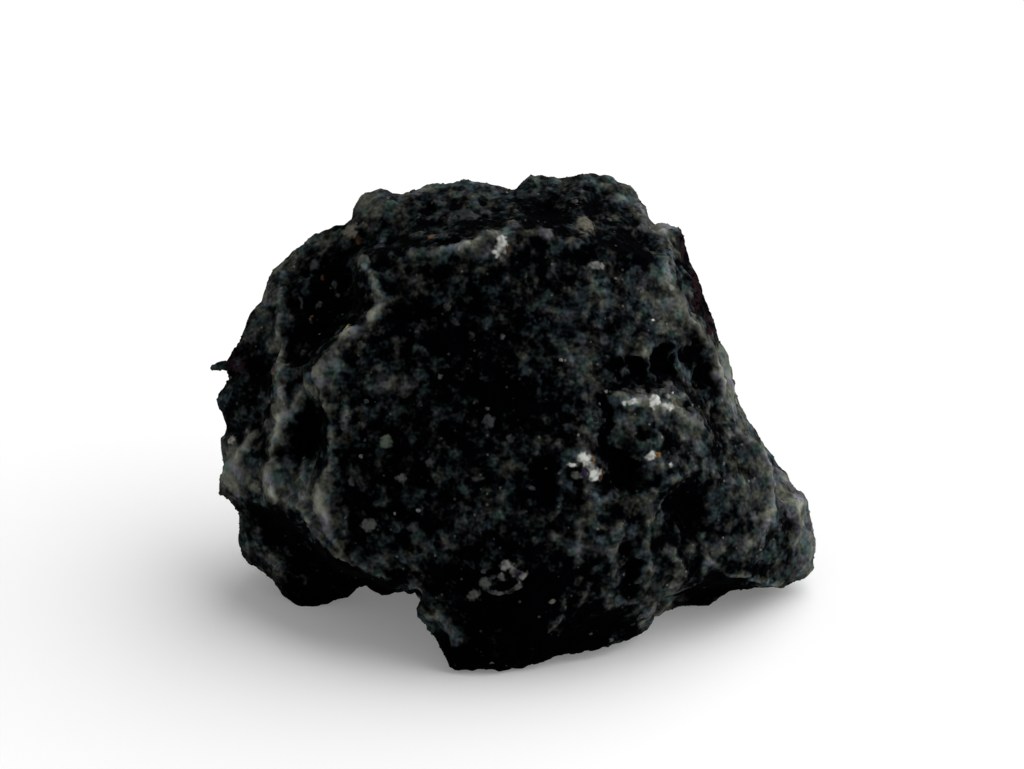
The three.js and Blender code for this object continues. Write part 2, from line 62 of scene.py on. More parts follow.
# Ridges of the front: rise and half width in mm, how pale the crest is painted (a painted highlight along the crest),
# and the line that it follows.
RIDGES = [
    # the brow
    (0.32, 0.42, 0.8, [(-8.2, 10.9), (-4.5, 11.3), (-3.2, 11.8), (-1.9, 12.3), (-0.2, 12.8), (1.3, 12.7), (2.9, 12.3)]),
    (0.25, 0.5, 0.4, [(2.9, 12.3), (4.9, 11.7), (6.9, 11.1), (8.5, 10.6)]),
    # the left ridge, from its hook down to the lower edge
    (0.4, 0.42, 0.8, [(-10.3, 10.9), (-9.9, 9.9), (-9.4, 9.0), (-9.1, 8.1)]),
    (0.32, 0.4, 0.9, [(-9.1, 8.1), (-9.8, 6.7), (-11.3, 5.6), (-12.4, 4.7), (-13.1, 3.3), (-13.0, 1.9)]),
    (0.3, 0.38, 0.8, [(-13.0, 1.9), (-12.3, 0.5), (-12.4, -0.9), (-12.3, -2.8), (-13.1, -4.1), (-13.1, -5.5)]),
    (0.26, 0.36, 0.8, [(-13.1, -5.5), (-12.3, -7.5), (-11.1, -9.2)]),
    (0.24, 0.36, 0.6, [(-12.3, 4.1), (-11.6, 2.2), (-11.3, 0.5), (-11.9, -1.3)]),
    # ribs of the left flank
    (0.2, 0.3, 0.45, [(-15.9, 8.7), (-15.7, 7.4), (-15.8, 6.0)]),
    (0.34, 0.36, 0.9, [(-15.8, 6.0), (-15.7, 3.0), (-15.6, 0.7), (-16.3, -1.9), (-16.5, -3.7), (-16.0, -5.3)]),
    (0.26, 0.34, 0.7, [(-13.9, 3.1), (-14.9, 1.1), (-15.6, 0.0)]),
    (0.26, 0.36, 0.8, [(-17.7, -0.7), (-18.4, -2.1), (-18.8, -3.0)]),
    (0.2, 0.28, 0.6, [(-14.2, -2.6), (-14.6, -4.2), (-14.4, -5.4)]),
    (0.2, 0.26, 0.5, [(-13.6, -2.2), (-13.9, -3.6), (-14.2, -5.0)]),
    # lower edge of the flank, and the left foot
    (0.3, 0.36, 0.8, [(-18.4, -4.9), (-17.1, -5.3), (-16.0, -5.8)]),
    (0.34, 0.38, 0.9, [(-15.4, -5.1), (-14.3, -6.0), (-13.3, -7.5), (-11.7, -9.0), (-10.3, -9.6), (-8.5, -10.3)]),
    (0.22, 0.36, 0.5, [(-8.5, -10.3), (-6.9, -11.1)]),
    (0.22, 0.34, 0.55, [(-17.5, -7.3), (-16.5, -8.5), (-16.0, -10.1)]),
    # the right edge and the fine ribs beside it
    (0.3, 0.4, 0.6, [(9.4, 12.1), (9.9, 9.6), (11.3, 7.1), (12.4, 5.5), (13.4, 4.1), (13.9, 2.0)]),
    (0.2, 0.24, 0.6, [(9.9, 13.0), (10.1, 11.4), (10.6, 9.4)]),
    (0.2, 0.24, 0.5, [(10.5, 12.9), (10.9, 10.6), (11.5, 8.4)]),
    (0.25, 0.4, 0.7, [(13.9, 4.9), (14.4, 3.6), (14.7, 2.3)]),
    # the lip under the row of pits, and the slanting ridge under the bulge
    (0.3, 0.5, 0.6, [(5.9, 2.1), (7.6, 1.3), (9.2, 1.3), (10.5, 0.9), (12.2, -0.3)]),
    (0.3, 0.5, 0.2, [(4.9, -5.3), (6.3, -4.7), (8.6, -4.6), (10.0, -4.1), (11.5, -3.3)]),
    # folds of the right lobe
    (0.28, 0.36, 0.5, [(15.3, -0.9), (16.5, -2.6), (17.1, -4.9), (16.7, -6.8), (15.9, -8.1), (15.1, -8.7)]),
    (0.22, 0.34, 0.25, [(14.1, -2.4), (15.2, -4.4), (15.0, -6.6)]),
    (0.2, 0.3, 0.1, [(18.3, -4.6), (18.9, -6.4), (18.6, -8.6)]),
    (0.34, 0.42, 0.6, [(10.1, -8.4), (10.8, -9.4), (10.9, -10.3), (10.6, -11.2), (9.3, -12.7)]),
    (0.26, 0.36, 0.7, [(12.8, -9.1), (12.1, -10.6), (11.1, -11.3)]),
    (0.26, 0.34, 0.6, [(13.0, -9.3), (13.9, -9.9), (15.9, -10.6), (17.7, -11.0)]),
    # upright ribs between the slots, and streaks on the front foot
    (0.26, 0.4, 0.35, [(7.1, -6.2), (6.5, -8.6), (6.2, -11.4)]),
    (0.24, 0.36, 0.45, [(8.9, -6.6), (8.7, -8.6), (8.8, -10.4)]),
    (0.18, 0.34, 1.0, [(3.9, -10.2), (3.4, -11.4), (2.8, -12.6), (2.0, -14.0)]),
    (0.14, 0.3, 0.8, [(4.8, -10.8), (4.3, -12.0), (3.6, -13.4)]),
    (0.2, 0.5, 0.8, [(-5.4, -12.6), (-4.6, -13.6), (-3.9, -14.6)]),
]

# Hollows and pits of the front: (right, up), half width and half height, depth in mm, and how black it is painted,
# which is painted shade. The ones with no depth are painted shade alone, on the feet that turn under and under the
# overhangs.
HOLLOWS = [
    ((18.1, -6.9), 0.6, 1.0, 0.08, 0.45),
    ((5.95, 0.2), 0.4, 1.5, 0.3, 1.0), ((8.1, -0.8), 0.3, 0.45, 0.12, 0.8), ((9.85, -0.85), 0.4, 0.85, 0.15, 0.8),
    ((11.4, 1.05), 0.22, 0.26, 0.15, 1.0), ((6.7, 2.1), 0.6, 0.2, 0.12, 0.8), ((8.5, 2.0), 0.2, 0.3, 0.1, 0.7),
    ((-1.1, 1.9), 2.0, 1.5, 0.15, 0.9), ((-4.2, 5.2), 1.9, 1.1, 0.1, 0.6), ((1.9, -3.6), 0.9, 1.5, 0.3, 0.9),
    ((7.1, -3.3), 0.6, 1.4, 0.35, 0.65), ((6.5, 3.6), 0.5, 0.65, 0.45, 1.0), ((7.9, 3.4), 0.42, 0.65, 0.4, 1.0),
    ((9.8, 4.0), 0.75, 1.1, 0.5, 1.0), ((12.4, 3.1), 0.7, 0.8, 0.4, 1.0), ((11.7, 4.6), 0.6, 0.6, 0.3, 0.9),
    ((11.1, -6.1), 1.2, 1.3, 0.25, 0.55), ((7.6, -10.6), 0.55, 1.3, 0.35, 0.7), ((2.2, -10.4), 2.0, 0.9, 0.1, 0.9),
    ((1.9, 13.7), 1.5, 0.6, 0.2, 0.7), ((5.4, 14.9), 0.9, 0.6, 0.2, 0.6), ((8.3, 12.3), 1.0, 0.9, 0.25, 0.8),
    ((4.2, 11.1), 0.9, 0.6, 0.2, 0.8), ((-9.3, 13.1), 0.5, 0.4, 0.25, 0.8), ((-5.9, 14.3), 0.7, 0.4, 0.2, 0.6),
    ((-2.9, 13.4), 0.9, 0.4, 0.2, 0.6), ((-4.6, 11.9), 0.7, 0.3, 0.2, 0.8), ((-2.8, 8.3), 1.3, 1.0, 0.1, 0.5),
    ((-7.6, 7.4), 1.5, 0.8, 0.1, 0.5), ((-10.5, -5.7), 1.1, 1.6, 0.1, 0.6), ((-12.6, 8.4), 1.3, 1.9, 0.2, 0.7),
    ((-13.6, 6.0), 1.0, 1.1, 0.2, 0.9), ((-14.0, -0.8), 0.9, 1.4, 0.25, 1.0), ((-17.4, 3.4), 0.9, 1.4, 0.1, 0.6),
    ((-17.2, 0.6), 0.7, 1.6, 0.15, 0.7), ((1.0, -12.4), 2.6, 1.4, 0.0, 0.8), ((5.8, -13.0), 1.5, 0.7, 0.0, 0.6),
    ((13.4, -11.1), 2.2, 0.6, 0.1, 0.9), ((13.4, -0.2), 0.9, 0.9, 0.15, 0.6), ((13.2, 1.4), 0.6, 1.2, 0.2, 0.7),
    ((-2.2, -12.8), 1.5, 1.2, 0.0, 0.6), ((0.2, 10.9), 0.7, 0.5, 0.1, 0.6), ((10.9, -2.8), 0.8, 0.5, 0.15, 0.6),
    ((3.1, -8.9), 0.8, 0.5, 0.1, 0.6), ((-0.6, -8.4), 0.7, 0.5, 0.1, 0.5), ((-16.0, -7.6), 1.8, 1.0, 0.0, 0.8),
    ((-13.0, -9.6), 2.2, 1.0, 0.0, 0.8), ((-14.2, 10.4), 1.4, 1.0, 0.1, 0.5),
]

# Paler and darker stretches of the front: (right, up), half width and half height in mm, and how much paler. Some are
# the stone's own tone; others are painted light: painted rim light at the top right edge, and painted shade on the
# feet, under the overhangs and in the recess under the right lobe.
STRETCHES = [
    # right: the bulge, the lobe and the edge
    ((16.8, -4.2), 3.6, 4.4, 0.12), ((13.8, 2.0), 3.0, 4.0, 0.12), ((9.0, -0.5), 3.0, 2.4, 0.08),
    # (9.6, 13.2) is painted rim light on the top right edge.
    ((9.8, 9.4), 2.4, 3.4, 0.1), ((9.6, 13.2), 1.6, 1.2, 0.19), ((11.4, 6.6), 1.4, 1.0, 0.08),
    ((7.8, 9.4), 1.2, 2.0, -0.03), ((9.2, 10.9), 1.8, 0.8, -0.06), ((10.2, 8.0), 1.0, 0.9, 0.08), ((7.4, 9.2), 0.7, 0.7, 0.05), ((10.9, 12.4), 0.5, 0.8, -0.1),
    ((12.6, 8.2), 0.9, 2.5, -0.1), ((11.2, 11.0), 0.45, 1.6, -0.08), ((10.9, 9.4), 0.9, 1.4, -0.05), ((13.8, -8.2), 2.0, 0.8, 0.06), ((10.2, -1.4), 1.0, 1.5, -0.08),
    ((12.4, 2.0), 0.8, 1.0, -0.13), ((13.0, 4.9), 0.7, 0.8, 0.05), ((13.9, -1.7), 1.5, 0.7, -0.1), ((15.1, 0.8), 0.7, 1.0, 0.05), ((12.0, -1.2), 0.8, 0.8, 0.04), ((15.0, -3.8), 0.9, 0.8, -0.05),
    # (13.6, -10.8) is painted shade in the recess under the right lobe.
    ((8.6, -5.8), 1.4, 0.7, 0.07), ((15.2, -6.2), 0.8, 0.7, 0.05), ((14.8, -5.8), 1.6, 2.0, -0.05), ((13.6, -10.8), 1.8, 1.0, -0.1), ((14.0, -9.0), 0.8, 1.2, -0.05), ((7.6, -9.8), 0.7, 0.8, -0.06), ((12.2, -7.9), 0.7, 0.8, 0.05), ((19.2, -7.0), 0.7, 1.0, 0.06),
    ((19.6, -9.2), 1.1, 2.0, 0.15), ((19.0, -5.8), 0.9, 1.4, 0.1), ((17.4, -8.0), 0.9, 0.9, -0.1),
    ((16.0, -5.0), 1.2, 2.4, 0.04), ((17.9, -4.0), 0.9, 0.8, 0.06), ((9.6, -4.2), 4.0, 0.6, -0.05), ((7.2, -4.8), 1.0, 0.5, -0.05), ((11.2, -3.6), 0.9, 0.6, -0.04), ((10.4, -2.8), 1.2, 0.6, 0.09),
    ((8.3, -3.0), 0.7, 0.6, 0.05), ((10.2, -11.4), 0.9, 1.5, 0.08), ((9.0, -13.6), 0.9, 0.5, 0.08),
    ((10.95, 4.3), 0.35, 1.3, 0.04), ((8.6, 4.6), 1.1, 0.5, 0.1), ((11.0, 0.2), 0.3, 1.5, 0.06), ((8.95, 3.9), 0.25, 0.8, 0.08), ((7.4, 4.0), 0.22, 0.8, 0.07),
    ((7.6, 5.2), 1.6, 0.6, 0.06), ((4.9, 4.4), 1.2, 0.7, 0.06),
    ((8.3, 1.9), 0.8, 0.5, 0.04), ((10.8, 1.6), 0.7, 0.8, 0.06), ((13.8, 2.0), 0.9, 1.6, 0.05),
    # middle of the front
    ((5.5, 9.3), 1.6, 1.2, 0.06), ((5.4, 6.5), 3.2, 2.4, 0.03), ((4.9, 6.1), 1.0, 0.7, -0.05), ((2.1, 8.4), 1.3, 1.0, 0.05), ((3.8, 7.4), 1.6, 0.9, 0.05),
    ((1.5, 6.9), 1.4, 1.2, -0.05), ((5.6, -7.5), 2.4, 2.4, 0.04), ((9.2, -10.5), 1.6, 2.2, 0.03),
    ((6.8, -12.2), 2.8, 0.9, 0.06), ((9.4, -12.6), 1.0, 0.8, 0.06), ((4.5, -1.9), 1.1, 2.2, 0.08),
    ((4.0, -8.4), 1.3, 0.7, 0.05), ((4.6, 11.3), 1.8, 0.6, 0.06), ((4.0, 3.4), 1.2, 1.6, 0.09),
    ((2.8, 2.6), 1.2, 0.7, -0.05), ((6.4, 0.6), 0.9, 1.0, -0.06), ((6.1, -1.8), 0.6, 0.8, -0.06),
    ((0.2, 3.7), 0.8, 1.3, 0.08), ((4.7, 1.5), 0.9, 0.6, 0.05), ((4.8, -4.4), 0.5, 1.6, 0.05), ((4.2, -1.8), 0.5, 1.6, 0.05), ((-0.7, -2.8), 0.9, 0.9, 0.08), ((2.8, -7.9), 0.9, 0.5, 0.05), ((5.9, -11.2), 0.5, 1.4, 0.05), ((-1.0, -5.2), 0.8, 1.2, 0.04), ((-2.6, -6.2), 2.0, 1.6, 0.04),
    ((0.1, -4.2), 1.5, 1.2, -0.06), ((-8.4, 2.3), 2.2, 1.2, 0.07), ((-6.3, -6.0), 1.5, 1.8, -0.08),
    ((-1.1, 1.9), 2.2, 1.6, -0.04), ((-7.0, -1.8), 2.6, 1.8, -0.03), ((-8.0, -8.2), 1.0, 1.2, -0.04), ((-1.0, -0.4), 1.2, 0.8, -0.03), ((-4.2, -10.2), 1.8, 0.9, -0.06),
    # (1.0, -13.0), (1.0, -15.8) and (-3.8, -16.0) below are painted shade on the front foot, which turns under.
    ((0.6, -8.6), 0.9, 0.8, -0.03), ((1.0, -13.0), 7.0, 2.6, -0.06), ((1.0, -15.8), 5.0, 1.2, -0.08),
    ((-3.8, -16.0), 1.6, 0.8, -0.1), ((-5.9, -12.6), 0.5, 1.3, 0.08), ((-6.6, -11.4), 0.6, 1.0, 0.09),
    ((-4.8, -13.4), 1.0, 0.8, 0.07), ((2.6, -13.2), 0.6, 1.0, 0.08), ((2.9, -12.2), 0.4, 1.4, 0.05), ((8.6, -13.6), 0.8, 0.5, 0.05),
    ((-6.4, 9.2), 0.9, 1.2, 0.08), ((0.2, 9.8), 0.9, 0.7, 0.05), ((-4.3, -7.8), 0.7, 0.9, 0.05), ((-8.6, 7.6), 0.9, 1.4, 0.06), ((-2.2, 8.2), 0.6, 0.8, 0.05), ((-1.5, -5.0), 0.7, 0.8, 0.04),
    # left flank
    ((-16.8, -3.6), 3.6, 1.8, 0.14), ((-16.6, -2.2), 1.0, 1.2, -0.12), ((-15.8, 3.4), 0.7, 0.8, -0.06), ((-12.5, -1.0), 0.6, 0.9, -0.05), ((-18.8, 0.6), 0.7, 1.0, -0.07), ((-19.3, 4.2), 0.6, 0.8, 0.08), ((-18.2, -6.8), 0.7, 0.8, 0.07),
    ((-17.1, 0.1), 0.6, 0.7, 0.05), ((-7.6, -11.2), 0.8, 0.4, 0.08), ((-11.2, -8.7), 0.7, 0.5, 0.07), ((-7.6, -9.4), 0.5, 0.7, 0.04), ((-19.4, -3.0), 1.0, 1.6, 0.13),
    ((-16.6, 0.2), 2.0, 2.0, 0.1), ((-13.9, 2.6), 0.9, 1.4, 0.1), ((-14.6, 1.4), 0.6, 1.1, 0.05), ((-12.6, 3.2), 0.9, 1.6, 0.05),
    ((-11.2, 2.6), 0.8, 1.4, -0.07), ((-12.5, 0.0), 0.7, 1.2, -0.06), ((-13.2, -3.8), 1.2, 0.9, -0.07),
    ((-13.4, -5.6), 1.8, 1.8, 0.12), ((-12.3, -6.6), 1.3, 0.9, 0.07), ((-12.3, -7.9), 1.0, 1.3, 0.05),
    # (-10.2, -10.6) is painted shadow under the overhanging lower edge.
    ((-9.4, -9.3), 2.4, 0.7, 0.1), ((-10.2, -10.6), 3.0, 0.8, -0.2), ((-17.5, -8.6), 1.8, 1.6, 0.08), ((-15.9, -10.1), 0.8, 0.8, 0.06), ((-6.9, -9.6), 0.7, 1.4, 0.05),
    ((-10.8, 5.6), 1.0, 1.1, 0.13), ((-11.8, 4.2), 0.8, 0.8, 0.06), ((-16.2, 4.8), 1.2, 2.6, 0.09), ((-16.4, 5.0), 0.6, 0.6, 0.06), ((-17.0, 8.6), 1.2, 1.8, 0.08),
    ((-15.2, 10.6), 2.4, 1.3, 0.12), ((-13.8, 11.9), 1.8, 0.6, 0.08), ((-17.4, 8.0), 0.8, 1.6, 0.05),
    # (-14.0, -8.6), (-16.4, -6.1) and (-13.6, -12.0) are painted shade on the left foot, under the overhang.
    ((-14.0, -8.6), 4.0, 1.6, -0.05), ((-12.3, 8.0), 1.5, 2.6, -0.06), ((-14.6, 6.4), 0.9, 1.6, -0.06),
    ((-16.4, -6.1), 2.0, 0.8, -0.14), ((-13.6, -12.0), 2.4, 0.8, -0.1), ((-9.2, 10.6), 1.0, 1.0, -0.05), ((-10.05, 10.4), 0.4, 0.7, 0.08),
    ((-11.3, 0.6), 0.9, 1.4, 0.05), ((-9.4, -3.8), 1.2, 1.0, -0.03),
    # top shelf
    ((-2.0, 14.8), 8.0, 2.2, 0.05), ((-9.6, 13.6), 2.0, 1.6, 0.08), ((-2.6, 11.3), 2.0, 0.8, 0.12),
    ((-0.2, 11.6), 1.0, 1.0, 0.06), ((2.0, 13.2), 1.6, 0.9, -0.06), ((6.4, 11.6), 1.6, 1.0, -0.1), ((8.0, 10.8), 0.8, 0.7, -0.06), ((-8.0, 10.9), 0.7, 0.7, -0.04),
    ((6.8, 14.8), 1.6, 0.9, 0.08), ((-6.0, 15.8), 2.6, 0.8, 0.09), ((0.6, 14.3), 1.0, 0.7, -0.06), ((-10.3, 14.5), 1.3, 0.8, 0.09),
    ((1.5, 16.4), 3.0, 0.5, 0.06), ((5.0, 16.2), 2.0, 0.6, 0.04), ((-2.6, 14.4), 1.3, 0.7, -0.06), ((-4.8, 15.5), 0.8, 0.7, -0.05),
    ((-8.0, 11.1), 0.8, 0.8, -0.05), ((-10.6, 12.9), 0.7, 0.6, -0.05),
]

# Knobs and dents of the outline: (right, up), radius in mm, and how far the skin moves out in mm.
KNOBS = [
    ((15.0, 0.4), 1.9, -0.5), ((14.0, 3.0), 1.6, -0.5), ((13.4, 5.0), 0.8, -0.2), ((13.7, 3.5), 0.7, -0.25), ((18.9, -5.4), 0.7, 0.35), ((18.0, -4.6), 1.3, -0.45), ((19.3, -6.6), 0.9, -0.35), ((17.3, -3.0), 0.8, -0.6), ((16.4, -1.7), 1.2, -0.5),
    ((9.3, 12.9), 0.8, -1.0), ((10.6, 12.5), 0.5, 0.3), ((3.1, 16.2), 0.9, -0.4), ((-0.2, 15.8), 0.6, -0.3),
    ((-7.6, 15.2), 0.8, -0.4), ((-11.3, 13.5), 0.9, -0.35), ((-10.3, 14.8), 0.6, 0.1), ((-16.6, 9.5), 0.8, 0.35),
    ((-18.0, 7.2), 0.8, 0.3), ((-19.4, 4.6), 0.6, 0.3), ((-20.0, 1.3), 0.8, 0.6), ((-19.7, -1.5), 0.8, 0.6),
    ((-19.8, -4.8), 0.8, 0.4), ((-13.8, -12.6), 1.1, 0.75), ((-10.2, -11.3), 0.8, -0.4), ((-11.3, -11.8), 0.7, 0.1), ((-8.9, -11.9), 0.8, 0.6),
    ((-7.0, -11.5), 0.7, -1.1), ((-6.4, -12.6), 0.6, 0.4), ((-4.4, -16.6), 0.8, 0.4), ((5.4, -15.4), 1.8, 0.35),
    ((9.2, -13.5), 0.9, 0.3), ((12.8, -12.5), 0.9, 0.3), ((-13.5, 12.2), 0.7, 0.25),
    ((7.4, 15.6), 0.8, 0.2), ((0.9, 16.2), 0.6, 0.2), ((-4.2, 16.7), 0.9, -0.2), ((20.3, -8.6), 0.8, -0.2),
    ((-17.6, -8.9), 0.8, 0.25), ((-18.5, -7.5), 0.6, 0.25), ((-6.1, -13.7), 0.6, 0.3),
]

WHITE = (0.5, 0.51, 0.48)
PALE_GREY = (0.17, 0.175, 0.165)
GREY = (0.07, 0.075, 0.07)
DIM = (0.035, 0.038, 0.04)
BEIGE = (0.105, 0.1, 0.08)
TAN = (0.12, 0.075, 0.045)
YELLOW = (0.4, 0.33, 0.16)
BROWN = (0.045, 0.022, 0.012)
ORANGE = (0.26, 0.13, 0.03)
PURPLE = (0.03, 0.017, 0.045)
MINT = (0.08, 0.1, 0.08)
# Inclusions in the front: (right, up), half width and half height in mm, turn in degrees, colour.
INCLUSIONS = [
    # on the top shelf and along the brow
    ((-1.1, 11.8), 0.36, 0.85, -14, WHITE), ((-0.6, 11.4), 0.14, 0.4, -14, BROWN), ((4.55, 13.1), 0.6, 1.25, 8, BEIGE),
    ((5.3, 10.4), 0.5, 0.26, -10, PALE_GREY), ((-11.1, 12.5), 0.6, 0.5, 30, BEIGE), ((-10.6, 12.1), 0.25, 0.4, 0, BROWN),
    ((-5.7, 12.3), 0.38, 0.26, 0, TAN), ((-10.2, 10.8), 0.42, 0.45, 0, GREY), ((-9.4, 14.5), 0.4, 0.3, 0, DIM),
    ((-3.3, 13.7), 0.8, 0.45, 0, DIM),
    # in the front's middle and left
    ((-13.5, 10.3), 0.45, 0.4, 0, DIM), ((-12.2, 9.1), 0.22, 0.32, 0, DIM), ((-13.2, 7.7), 0.26, 0.3, 0, DIM),
    ((-11.95, 8.4), 0.22, 0.22, 0, DIM), ((-12.9, 9.5), 0.2, 0.2, 0, BROWN), ((-14.4, 7.9), 0.16, 0.5, 0, DIM),
    ((-11.4, 6.3), 0.34, 0.34, 0, YELLOW), ((-11.1, 6.2), 0.14, 0.24, 0, ORANGE), ((-13.7, 6.8), 0.14, 0.34, 0, TAN), ((-2.0, 0.9), 0.2, 0.15, 20, GREY), ((-1.0, 5.7), 0.2, 0.2, 0, GREY),
    ((2.9, 4.1), 0.16, 0.14, 0, PALE_GREY), ((-5.1, 3.0), 0.22, 0.2, 0, GREY), ((-8.7, -1.3), 0.46, 0.42, 0, MINT),
    ((-5.8, -2.7), 0.32, 0.3, 0, DIM), ((-11.0, -4.0), 0.3, 0.34, 0, DIM), ((-7.8, -3.7), 0.42, 0.32, 0, GREY),
    ((-9.9, -6.8), 0.56, 0.5, 0, GREY), ((-7.0, -7.0), 0.4, 0.34, 0, DIM), ((-6.6, -5.9), 0.16, 0.16, 0, PALE_GREY),
    ((1.0, -4.4), 0.24, 0.2, 0, DIM), ((-1.9, 0.0), 0.45, 0.4, 0, DIM), ((-0.5, -1.1), 0.34, 0.3, 0, DIM),
    ((-8.2, -6.1), 0.14, 0.14, 0, PALE_GREY), ((-10.4, -2.3), 0.16, 0.16, 0, PALE_GREY),
    # the right of the face
    ((9.1, 6.8), 0.2, 0.16, 0, WHITE), ((11.1, 7.8), 0.16, 0.18, 0, PALE_GREY), ((10.2, 8.9), 0.18, 0.24, 0, PALE_GREY),
    # the pale lip under the row of pits
    ((7.53, 1.33), 0.5, 0.24, 5, WHITE), ((9.14, 1.38), 0.34, 0.5, 0, WHITE), ((10.15, 1.05), 0.44, 0.32, 0, WHITE),
    ((8.3, 1.7), 0.3, 0.14, 0, GREY), ((9.7, 1.95), 0.5, 0.18, 0, GREY),
    ((10.0, 1.75), 0.2, 0.28, 0, PALE_GREY), ((10.4, 2.0), 0.14, 0.14, 0, WHITE), ((10.5, 1.4), 0.2, 0.2, 0, TAN),
    ((10.9, 0.95), 0.2, 0.17, 0, PALE_GREY), ((5.95, 2.05), 0.17, 0.14, 30, PALE_GREY),
    # the white cluster beside the slot, and the fleck to its right
    ((3.67, -2.86), 0.32, 0.14, -10, WHITE), ((4.5, -2.4), 0.4, 0.44, 10, WHITE), ((5.15, -3.5), 0.34, 0.5, -25, WHITE),
    ((4.38, -3.4), 0.3, 0.26, 0, PURPLE), ((5.62, -3.5), 0.12, 0.5, -10, BROWN), ((5.1, -2.5), 0.14, 0.3, 0, TAN),
    ((3.95, -3.55), 0.4, 0.34, 0, GREY), ((4.95, -2.95), 0.3, 0.28, 0, PALE_GREY),
    ((8.84, -2.27), 0.34, 0.27, 30, WHITE), ((9.38, -2.2), 0.18, 0.2, 0, ORANGE), ((10.27, -2.86), 0.16, 0.18, 0, WHITE),
    # the ring of grains over the front foot
    ((-0.73, -9.5), 0.48, 0.38, 5, PALE_GREY), ((-0.3, -9.9), 0.3, 0.26, 0, GREY), ((0.37, -10.2), 0.24, 0.48, -35, PALE_GREY),
    ((-2.13, -10.7), 0.42, 0.38, 0, GREY), ((-2.25, -9.95), 0.22, 0.26, 0, DIM), ((-1.6, -10.3), 0.26, 0.2, 30, DIM),
    ((-1.0, -10.35), 0.24, 0.34, 0, GREY), ((-1.75, -11.3), 0.36, 0.2, -30, DIM), ((-1.2, -11.45), 0.36, 0.2, 0, GREY),
    ((-0.5, -11.35), 0.34, 0.2, 20, DIM), ((-0.02, -10.95), 0.34, 0.24, 40, GREY), ((-2.85, -11.5), 0.44, 0.34, 30, GREY),
    ((-1.67, -9.15), 0.14, 0.13, 0, GREY), ((0.0, -10.1), 0.2, 0.24, 0, PURPLE),
    # the front foot, and the left
    ((-2.4, -15.5), 0.16, 0.16, 0, PALE_GREY), ((-1.7, -16.1), 0.16, 0.12, 0, PALE_GREY),
    ((4.9, -14.1), 0.14, 0.13, 0, GREY), ((6.2, -14.5), 0.2, 0.16, 0, GREY), ((-19.0, -1.3), 0.38, 0.34, 0, (0.3, 0.28, 0.26)),
    ((-16.2, 3.3), 0.2, 0.24, 0, TAN), ((13.4, -3.6), 0.2, 0.22, 0, DIM), ((15.4, -4.4), 0.2, 0.3, 0, DIM),
    ((14.15, 4.2), 0.5, 1.4, 22, MINT),
]

# Rusty stretches: (right, up), half width and half height in mm.
RUST = [((11.0, 11.8), 0.3, 1.4), ((11.9, 8.8), 0.4, 1.8), ((12.8, 6.4), 0.35, 1.2), ((-18.8, 3.8), 0.8, 0.7)]


class Term:
    """A socket of a node tree, used like a number in a Python expression."""

    def __init__(self, tree, socket):
        self.tree = tree
        self.socket = socket

    def _maths(self, operation, *values):
        made = self.tree.node("ShaderNodeMath", {"operation": operation}, dict(enumerate(values)))
        return made[0]

    def __add__(self, other):
        return self._maths("ADD", self, other)

    def __radd__(self, other):
        return self._maths("ADD", other, self)

    def __sub__(self, other):
        return self._maths("SUBTRACT", self, other)

    def __rsub__(self, other):
        return self._maths("SUBTRACT", other, self)

    def __mul__(self, other):
        return self._maths("MULTIPLY", self, other)

    def __rmul__(self, other):
        return self._maths("MULTIPLY", other, self)

    def __truediv__(self, other):
        return self._maths("DIVIDE", self, other)

    def __rtruediv__(self, other):
        return self._maths("DIVIDE", other, self)

    def __pow__(self, other):
        return self._maths("POWER", self, other)

    def step(self, low, high):
        """0 below low, 1 above high, and smooth between them."""
        ranges = {"From Min": low, "From Max": high, "Value": self}
        return self.tree.node("ShaderNodeMapRange", {"interpolation_type": "SMOOTHSTEP"}, ranges)["Result"]

    def step_linear(self, low, high):
        return self.tree.node("ShaderNodeMapRange", {}, {"From Min": low, "From Max": high, "Value": self})["Result"]


class Made:
    """A node that was made, whose outputs are read by name or number."""

    def __init__(self, tree, node):
        self.tree = tree
        self.node = node

    def __getitem__(self, key):
        return Term(self.tree, self.node.outputs[key])


class Tree:
    """A node tree of any kind, with one method that makes every node."""

    def __init__(self, tree):
        self.tree = tree

    def node(self, kind, settings=None, sockets=None):
        made = self.tree.nodes.new(kind)
        for name, value in (settings or {}).items():
            setattr(made, name, value)
        for key, value in (sockets or {}).items():
            if isinstance(value, Term):
                self.tree.links.new(value.socket, made.inputs[key])
            else:
                made.inputs[key].default_value = value
        return Made(self, made)

    def mix(self, share, first, second):
        """A colour between first and second."""
        colours = {0: share, 6: opaque(first), 7: opaque(second)}
        return self.node("ShaderNodeMix", {"data_type": "RGBA"}, colours)[2]


def opaque(colour):
    return colour if isinstance(colour, Term) or len(colour) == 4 else (*colour, 1)


class MeteoriteSkinSettings(bpy.types.PropertyGroup):
    """Relief of the stone's broken skin."""

    lump_size: bpy.props.FloatProperty(name="Lump size", description="Breadth of a lump", default=2.4 * MM,
                                       unit="LENGTH")
    lump_rise: bpy.props.FloatProperty(name="Lump rise", description="Height of the lumps", default=0.5 * MM,
                                       unit="LENGTH")
    crumb_size: bpy.props.FloatProperty(name="Crumb size", description="Breadth of a crumb of the broken surface",
                                        default=0.95 * MM, unit="LENGTH")
    crumb_rise: bpy.props.FloatProperty(name="Crumb rise", description="Height of the crumbs", default=0.12 * MM,
                                        unit="LENGTH")
    pit_size: bpy.props.FloatProperty(name="Pit size", description="Distance between pits", default=2.1 * MM,
                                      unit="LENGTH")
    pit_depth: bpy.props.FloatProperty(name="Pit depth", description="Depth of the pits", default=0.24 * MM,
                                       unit="LENGTH")
    grit_size: bpy.props.FloatProperty(name="Grit size", description="Breadth of the finest relief in the mesh",
                                       default=0.42 * MM, unit="LENGTH")
    grit_rise: bpy.props.FloatProperty(name="Grit rise", description="Height of the finest relief in the mesh",
                                       default=0.035 * MM, unit="LENGTH")
    dark: bpy.props.FloatVectorProperty(name="Dark matrix", description="Colour in the pits and hollows",
                                        subtype="COLOR", size=3, default=(0.0001, 0.0002, 0.0006))


